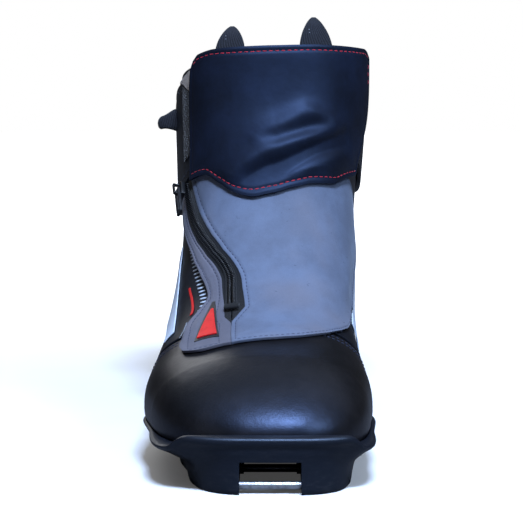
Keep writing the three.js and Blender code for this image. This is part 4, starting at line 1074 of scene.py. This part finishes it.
def build_zip():
    for side, word in SIDES:
        limits = outwards(side, lambda v: 0.35, lambda v, s=side: zip_spread(v, s) + 0.6, zip_centre)
        tape = Sheet((4.5, ZIP_TOP_V), limits, lambda v, a: cover_lift(v, a) + 0.1 + TAPE)
        leaf(word + "_tape_cloth", tape, TAPE, (160, 10), TAPE_CLOTH, replaces=(word + "_zip_tape",),
             bevel=0.2)
    v = np.linspace(ZIP_END_V + 0.32, ZIP_TOP_V - 0.07, 400)
    spots, tangents = [], []
    for side in (-1, 1):
        a = zip_centre(v) + side * 0.85 * ZIP_TURN
        path = on_last(v, a, coil_base(v, a) + 0.75)
        places, along = resample(path, 1.25)
        if side > 0:
            places = places + along * 0.6 * MM
        spots.append(places)
        tangents.append(along)
    spots, tangents = np.vstack(spots), np.vstack(tangents)
    ups = surface_up(spots)
    across = np.cross(ups, tangents)
    across /= np.linalg.norm(across, axis=1, keepdims=True)
    beads("zip_teeth", spots, across, ups, (1.25, 0.42, 0.75), GLOSS, replaces=("zip_coil",))
    for side, word in SIDES:
        a = zip_centre(v) + side * 1.95 * ZIP_TURN
        cord = on_last(v, a, coil_base(v, a) + 0.42)
        tube("zip_" + word + "_core", cord, 0.42, TAPE_CLOTH, slot="nylon", sides=8)


build_zip()
softened("zip_end_stop", "zip_bottom_stop", TAPE_CLOTH, 0.5, 4, slot="steel")
softened("slider_body", "zip_slider", GLOSS, 0.45, 4, body="zip_slider", slot="steel")
softened("pull_tab", "zip_pull", NYLON, 0.4, 3, body="zip_pull")


def build_badge():
    """A plain warning-red wedge in a dark outline."""
    frame_sheet = Sheet((4.02, 5.3), (lambda v: mix(-34.0, -26.3, (v - 4.02) / 1.28),
                                      lambda v: mix(-21.4, -24.6, (v - 4.02) / 1.28)),
                        lambda v, a: cover_depth(v, a) + 0.28)
    leaf("badge_outline", frame_sheet, 0.4, (40, 20), NYLON, bevel=0.15)
    wedge = Sheet((4.1, 5.02), (lambda v: mix(-32.3, -26.2, (v - 4.1) / 0.92),
                                lambda v: mix(-22.4, -24.9, (v - 4.1) / 0.92)),
                  lambda v, a: cover_depth(v, a) + 0.95)
    leaf("badge_wedge", wedge, 0.65, (30, 20), RED, replaces=("cover_badge",), bevel=0.2)


build_badge()


def build_side_trims():
    inner = curve((5.2, -53), (5.8, -56.5), (6.4, -60.5), (7, -65), (7.5, -68.5), (8, -68))
    lateral = Sheet((5.2, 7.95), (lambda v: mix(-63, -84, smooth((v - 5.2) / 2)), inner), GAP + 0.7)
    leaf("lateral_pale_panel", lateral, 0.65, (100, 30), WHITE, replaces=("lateral_white_panel",), bevel=0.2)
    medial = Sheet((5.9, 8.6), (lambda v: cover_medial(v) + 2.5, lambda v: mix(84, 92, smooth((v - 6) / 2))),
                   GAP + 0.7)
    leaf("medial_pale_panel", medial, 0.65, (100, 20), WHITE, replaces=("medial_white_panel",), bevel=0.2)
    ribs = []
    for v in np.arange(5.42, 7.7, 0.115):
        start = cover_lateral(v) - 1.6
        end = start - mix(6.2, 3.6, (v - 5.4) / 2.3)
        ribs.append(on_last(np.array([v, v + 0.05]), np.array([start, end]), 0.45))
    ribs = np.array(ribs)
    spots, tangents = ribs.mean(axis=1), ribs[:, 1] - ribs[:, 0]
    reach = float(np.linalg.norm(tangents, axis=1).mean() / MM / 2)
    tangents /= np.linalg.norm(tangents, axis=1, keepdims=True)
    beads("lateral_pale_ribs", spots, tangents, surface_up(spots), (reach, 0.42, 0.16), WHITE)
    stripe = Sheet((5.45, 6.35), (lambda v: cover_lateral(v) - 12.6, lambda v: cover_lateral(v) - 11),
                   GAP + 0.25)
    leaf("lateral_red_stripe", stripe, 0.4, (40, 4), RED, bevel=0.1)
    dashes = trail([(5.25, -43.5), (5.0, -44.5), (4.75, -46.5)], 0.35)
    stitches("lateral_pale_dashes", dashes, 1.5, DASH, WHITE)


build_side_trims()


# ---------------------------------------------------------------- collar, cuff and flap
def build_collar():
    low = (lambda a: COLLAR_V + 0.06 + 0.07 * smooth((np.abs(a - 180) - 150) / -60))
    sheet = Sheet((low, collar_top), (lambda v: tongue_angle(v) + 1.4, lambda v: 358.6 - tongue_angle(v)),
                  LINER_OUT - 0.3)
    thing = leaf("padded_collar", sheet, LINER + 0.6, (16, 150), LINING, replaces=("collar_padding",),
                 bevel=1.7)
    plump(thing, 2.0, 1.1)


def plump(thing, voxel, most):
    """Fills a padded piece by cloth simulation: it swells by up to most millimetres. Its own map is kept."""
    puffed = thing.copy()
    puffed.data = thing.data.copy()
    bpy.context.scene.collection.objects.link(puffed)
    apply_modifier(puffed, "REMESH", mode="VOXEL", voxel_size=voxel * MM)
    rest = coordinates(puffed)
    cloth = puffed.modifiers.new("cloth", "CLOTH")
    cloth.settings.use_pressure = True
    cloth.settings.uniform_pressure_force = 4
    cloth.settings.effector_weights.gravity = 0
    cloth.settings.quality = 4
    scene = bpy.context.scene
    for step in range(1, 13):
        scene.frame_set(step)
    bpy.ops.object.modifier_apply(modifier="cloth")
    scene.frame_set(1)
    moved = coordinates(puffed) - rest
    reach = np.linalg.norm(moved, axis=1, keepdims=True)
    moved *= np.minimum(1, most * MM / np.maximum(reach, 1e-9))
    tree = KDTree(len(rest))
    for i, place in enumerate(rest):
        tree.insert(place, i)
    tree.balance()
    for vertex in thing.data.vertices:
        near = tree.find_n(vertex.co, 4)
        vertex.co += Vector(np.mean([moved[i] for _, i, _ in near], axis=0))
    thing.data.update()
    bpy.data.objects.remove(puffed, do_unlink=True)


build_collar()


def build_cuff():
    depth = lambda v, a: CUFF_OUT + over_backstay(a)
    relief = lambda v, a, edges: sewn_edge(edges, 2.4, 0.35, 0.2) - 0.2
    cuff = Sheet((lambda a: cuff_low(around_back(a)), lambda a: cuff_high(around_back(a))), (56, 313),
                 depth, relief)
    leaf("cuff_leather", cuff, 2.1, (90, 260), LEATHER, replaces=("ankle_cuff",), bevel=0.6)
    for border in ("bottom", "top"):
        line = cuff.border(border, 2.4, 500, 4, 0.02)
        stitches("cuff_" + border + "_stitches", line, 2.8, CUFF_STITCH, BLUE_THREAD)
    facing = Sheet((lambda a: mix(10.98, 11.3, smooth((-a - 47) / 15)), lambda a: cuff_high(a) - 0.03),
                   (-63, -44), lambda v, a: CUFF_OUT + 1.3)
    leaf("collar_facing", facing, 1.2, (20, 24), LINING, bevel=0.4)


build_cuff()


def fold(v, a, start, end, width, height):
    """A long soft ridge between two (v, a) places, in millimetres."""
    scale = np.array([16.0, 0.78])
    p = np.stack([v, a], -1) * scale
    first, last = np.array(start) * scale, np.array(end) * scale
    run = last - first
    share = clamp(((p - first) @ run) / (run @ run), 0, 1)
    gap = np.linalg.norm(p - first - share[..., None] * run, axis=-1)
    return height * np.exp(-(gap / width) ** 2) * (0.35 + 0.65 * np.sin(np.pi * (0.12 + 0.76 * share)))


def flap_relief(v, a, edges):
    """Ridges and hollows of the soft leather; it is never pressed below the cover under it."""
    swell = fold(v, a, (8.8, -4), (9.9, 32), 14.0, 2.0)
    brow = fold(v, a, (9.3, -4), (10.08, 14), 4.6, 1.7) + fold(v, a, (10.08, 14), (9.85, 40), 4.6, 1.7)
    hollow = fold(v, a, (9.3, 2), (9.85, 24), 3.4, -1.7)
    roll = fold(v, a, (8.4, -18), (9.66, 28), 4.2, 2.6)
    valley = fold(v, a, (8.25, -6), (9.7, 39), 3.8, -4.0)
    heel = fold(v, a, (8.5, 10), (9.35, 44), 5.0, 2.1)
    free = 0.6 * np.exp(-((a + 30) / 9) ** 2) * np.sin(1.4 * v)
    folds = swell + brow + hollow + roll + valley + heel + free
    folds = 0.5 * (folds + np.sqrt(folds ** 2 + 0.25)) * smooth(nearest(edges) / 8)
    return folds + sewn_edge(edges, 2.9, 0.35, 0.3) - 0.3


def build_flap():
    sewn = lambda v: mix(55, 66, smooth((v - 9) / 1.8))
    flap = Sheet((flap_bottom, flap_top), (-46, sewn), FLAP_OUT, flap_relief)
    leaf("flap_leather_leaf", flap, FLAP - 0.1, (200, 220), FLAP_LEATHER, body="cuff_flap",
         replaces=("cuff_flap",), bevel=0.6)
    for name, border, count, trim, span in (("bottom", "bottom", 500, 2.2, (0, 1)),
                                            ("top", "top", 500, 3, (0, 1)),
                                            ("side", "right", 200, 6, (0.72, 1))):
        line = flap.border(border, 3.0, count, trim, 0.04, span)
        stitches("flap_" + name + "_stitches", line, 3.1, FLAP_STITCH, RED_THREAD, body="cuff_flap")
    hook = Sheet((9.2, 11.3), (-44.6, -34), FLAP_IN - GAP)
    leaf("hook_pile", hook, 0.6, (60, 20), PILE, body="cuff_flap", replaces=("hook_patch",), bevel=0.15)
    loop = Sheet((9.55, 11.4), (-60, -47.6), CUFF_OUT + GAP + 0.6)
    leaf("loop_pile_patch", loop, 0.6, (60, 24), PILE, replaces=("loop_patch",), bevel=0.15)


build_flap()


# ---------------------------------------------------------------- pull loops and side tab
def strap_loop(name, node, lean):
    """A folded webbing loop whose width draws in to a pointed arch at the fold."""
    low, high = node_box(node)
    width, height = high[0] - low[0], high[2] - low[2]
    gap = (high[1] - low[1]) / 2 - 0.8
    middle = (low + high) / 2
    rows, columns = 72, 20
    s = np.linspace(0, 1, rows + 1)
    straight = height - gap - 0.8
    arc = math.pi * gap
    total = 2 * straight + arc
    points = []
    for share in s:
        d = share * total
        if d < straight:
            y, z = -gap, d
        elif d > straight + arc:
            y, z = gap, total - d
        else:
            turn = (d - straight) / gap
            y, z = -gap * math.cos(turn), straight + gap * math.sin(turn)
        level = clamp(z / (height - 0.8), 0, 1)
        half = width / 2 * (1 - level ** 1.8) ** 0.72 + 0.8 * level
        drawn = 1 - 0.55 * level ** 3
        for u in np.linspace(-1, 1, columns + 1):
            sag = 0.5 * (1 - u * u) * math.sin(math.pi * min(level * 1.2, 1))
            x = u * half + lean * level ** 1.6
            y_shift = y * drawn - sag * math.copysign(1, -y) * 0.5
            points.append((middle[0] + x, middle[1] + y_shift, low[2] + z))
    step = columns + 1
    corners = [i * step + j for i in range(rows) for j in range(columns)]
    thing = object_from(np.array(points) * MM, [[k, k + 1, k + step + 1, k + step] for k in corners], name)
    give_map(thing, lambda i: (i % step / columns * width, i // step / rows * total))
    apply_modifier(thing, "SOLIDIFY", thickness=1.5 * MM, offset=0.0)
    round_edges(thing, 0.4, 2, 50)
    finish_piece(thing, name, WEBBING, replaces=(node,))
    z = np.linspace(low[2] + 0.5, low[2] + 0.72 * height, 60)
    line = np.stack([np.full(60, middle[0] - width * 0.17), np.full(60, middle[1] - gap - 0.78), z], -1) * MM
    level = (z - low[2]) / height
    line[:, 0] += lean * level ** 1.6 * MM
    line[:, 1] += gap * 0.55 * level ** 3 * MM
    spots, tangents = resample(line, 1.5)
    ups = np.tile([0, -1.0, 0], (len(spots), 1))
    beads(name + "_stitches", spots, tangents, ups, LOOP_STITCH, PALE_THREAD)


strap_loop("lateral_loop_webbing", "lateral_collar_loop", 1.2)
strap_loop("medial_loop_webbing", "medial_collar_loop", -1.4)
strap_loop("heel_loop_webbing", "heel_pull_loop", 0.0)


def build_side_tab():
    """A short folded strap sewn into the cuff: full at the root, drawn to a rounded tip."""
    rows, columns = 26, 28
    root, tip = on_last(10.76, -78, 1.6), on_last(10.8, -80, 12.6)
    reach = tip - root
    out = reach / np.linalg.norm(reach)
    up = np.cross(out, np.cross([0, 0, 1.0], out))
    up /= np.linalg.norm(up)
    side = np.cross(out, up)
    points = []
    for s in np.linspace(0, 1, rows + 1):
        end = math.sqrt(max(1 - max((s - 0.78) / 0.22, 0) ** 2, 0.002))
        half = mix(6.1, 3.4, smooth(s / 0.75)) * end
        thick = mix(1.7, 2.5, smooth(s / 0.8)) * end
        droop = -1.6 * s * s * MM
        for turn in np.linspace(0, 2 * math.pi, columns, endpoint=False):
            c, k = math.cos(turn), math.sin(turn)
            lump = 1 + 0.06 * math.sin(3 * turn + 5 * s)
            wide = math.copysign(abs(c) ** 0.8, c) * half * lump
            deep = math.copysign(abs(k) ** 0.8, k) * thick * lump
            points.append(root + reach * s + up * (wide * MM + droop) + side * deep * MM)
    thing = object_from(points, tube_faces(rows, columns), "side_tab_webbing")
    outward(thing)
    give_map(thing, lambda i: (i // columns * 0.5, i % columns * 0.9))
    finish_piece(thing, "side_tab_webbing", WEBBING, replaces=("side_tab",), angle=70)


build_side_tab()

# ---------------------------------------------------------------- hidden pieces keep their CAD shape
for name, material in (("sole_shank", STEEL), ("insole_board", BOARD), ("toe_puff", NYLON),
                       ("heel_counter", NYLON)):
    nodes[name].data.materials.clear()
    nodes[name].data.materials.append(material)


# ---------------------------------------------------------------- floor, light and camera
FLOOR_RADIUS = 1.6
GLOW_START, GLOW_END = 0.12, 0.75                  # how far from the middle the floor turns white, metres
NEAR_GLOW_GREY = tone(0.05, 0.05, 0.05)
PURE_WHITE = tone(1, 1, 1)


def build_stage():
    """A pale round floor that is white to the camera away from the object: a painted glow, its emission dim
    grey near the middle and white farther out.
    """
    p = Paint("pale_floor", Roughness=0.9, Specular_IOR_Level=0.2, Emission_Strength=1.0)
    grain = p.noise(p.place(), 30 * MM, 3)
    p.use(p.blend(grain, tone(0.86, 0.86, 0.86), tone(0.9, 0.9, 0.9)))
    away = p.add("ShaderNodeVectorMath", {"operation": "LENGTH"}, p.place()).out("Value")
    # Painted glow: the floor's own emission, dim grey near the object and white away from it.
    glow = p.blend(away.between(GLOW_START, GLOW_END), NEAR_GLOW_GREY, PURE_WHITE)
    p.tree.links.new(glow.socket, p.shader.inputs["Emission Color"])
    deselect()
    bpy.ops.mesh.primitive_circle_add(vertices=128, radius=FLOOR_RADIUS, fill_type="NGON")
    floor = bpy.context.active_object
    floor.name = "floor"
    floor.data.materials.append(p.material)
    dim_reflected_floor(p.material.node_tree)
    build_world()
    bpy.context.scene.view_settings.view_transform = "Standard"


def dim_reflected_floor(tree):
    """The floor looks white, and throws little light back up on the object."""
    output = [node for node in tree.nodes if node.type == "OUTPUT_MATERIAL"][0]
    seen = output.inputs["Surface"].links[0].from_socket
    dim = tree.nodes.new("ShaderNodeBsdfDiffuse")
    dim.inputs["Color"].default_value = tone(0.16, 0.16, 0.17)
    camera_choice(tree, dim.outputs[0], seen, output)


def camera_choice(tree, hidden, seen, output):
    """Shows one shader to the camera and another to all other rays."""
    paths = tree.nodes.new("ShaderNodeLightPath")
    choice = tree.nodes.new("ShaderNodeMixShader")
    tree.links.new(paths.outputs["Is Camera Ray"], choice.inputs[0])
    tree.links.new(hidden, choice.inputs[1])
    tree.links.new(seen, choice.inputs[2])
    tree.links.new(choice.outputs[0], output.inputs["Surface"])


def build_world():
    """A pale room: soft light from overhead that falls away towards the horizon."""
    world = bpy.data.worlds.new("studio")
    world.use_nodes = True
    bpy.context.scene.world = world
    tree = world.node_tree
    tree.nodes.clear()
    direction = tree.nodes.new("ShaderNodeTexCoord")
    height = tree.nodes.new("ShaderNodeSeparateXYZ")
    ramp = tree.nodes.new("ShaderNodeValToRGB")
    stops = ((0.0, tone(0.1, 0.095, 0.09)), (0.3, tone(0.02, 0.02, 0.022)), (0.5, tone(0.035, 0.037, 0.042)),
             (0.75, tone(0.42, 0.45, 0.49)), (1.0, tone(1.0, 1.03, 1.07)))
    while len(ramp.color_ramp.elements) < len(stops):
        ramp.color_ramp.elements.new(0.5)
    for element, (place, color) in zip(ramp.color_ramp.elements, stops):
        element.position = place
        element.color = color
    room = tree.nodes.new("ShaderNodeBackground")
    backdrop = tree.nodes.new("ShaderNodeBackground")
    backdrop.inputs["Color"].default_value = PURE_WHITE
    output = tree.nodes.new("ShaderNodeOutputWorld")
    tree.links.new(direction.outputs["Generated"], height.inputs[0])
    tree.links.new(height.outputs["Z"], ramp.inputs[0])
    tree.links.new(ramp.outputs["Color"], room.inputs["Color"])
    room.inputs["Strength"].default_value = 0.6
    camera_choice(tree, room.outputs[0], backdrop.outputs[0], output)


def area_light(name, place, target, size, power, color):
    lamp = bpy.data.lights.new(name, "AREA")
    lamp.shape = "RECTANGLE"
    lamp.size, lamp.size_y = size
    lamp.energy = power
    lamp.color = color
    thing = bpy.data.objects.new(name, lamp)
    bpy.context.scene.collection.objects.link(thing)
    thing.location = place
    thing.rotation_euler = (Vector(target) - Vector(place)).to_track_quat("-Z", "Y").to_euler()


CAMERA_PLACE = (0.00469, -1.349, 0.28143)
CAMERA_TILT = 81.79                                # degrees up from straight down
FOCAL_LENGTH = 186.06                              # for a sensor 36 mm wide
SIDE_SHIFT = -0.0168


def build_camera():
    lens = bpy.data.cameras.new("camera")
    lens.sensor_width = 36
    lens.lens = FOCAL_LENGTH
    lens.shift_x = SIDE_SHIFT
    thing = bpy.data.objects.new("camera", lens)
    bpy.context.scene.collection.objects.link(thing)
    thing.location = CAMERA_PLACE
    thing.rotation_euler = (math.radians(CAMERA_TILT), 0, 0)
    bpy.context.scene.camera = thing


build_stage()
area_light("window", (0.12, -0.8, 1.25), (0.0, -0.1, 0.05), (0.34, 0.2), 36, (0.55, 0.7, 1.0))
area_light("right_side", (0.85, -0.9, 0.95), (0.0, 0, 0.13), (0.4, 0.5), 11, (0.62, 0.77, 1.0))
area_light("left_fill", (-1.1, -0.9, 0.5), (0, 0, 0.1), (0.5, 0.6), 0.7, (1.0, 0.86, 0.74))
area_light("behind", (-0.3, 1.3, 0.9), (0, 0.05, 0.1), (0.9, 0.6), 5, (1.0, 0.98, 0.95))
build_camera()
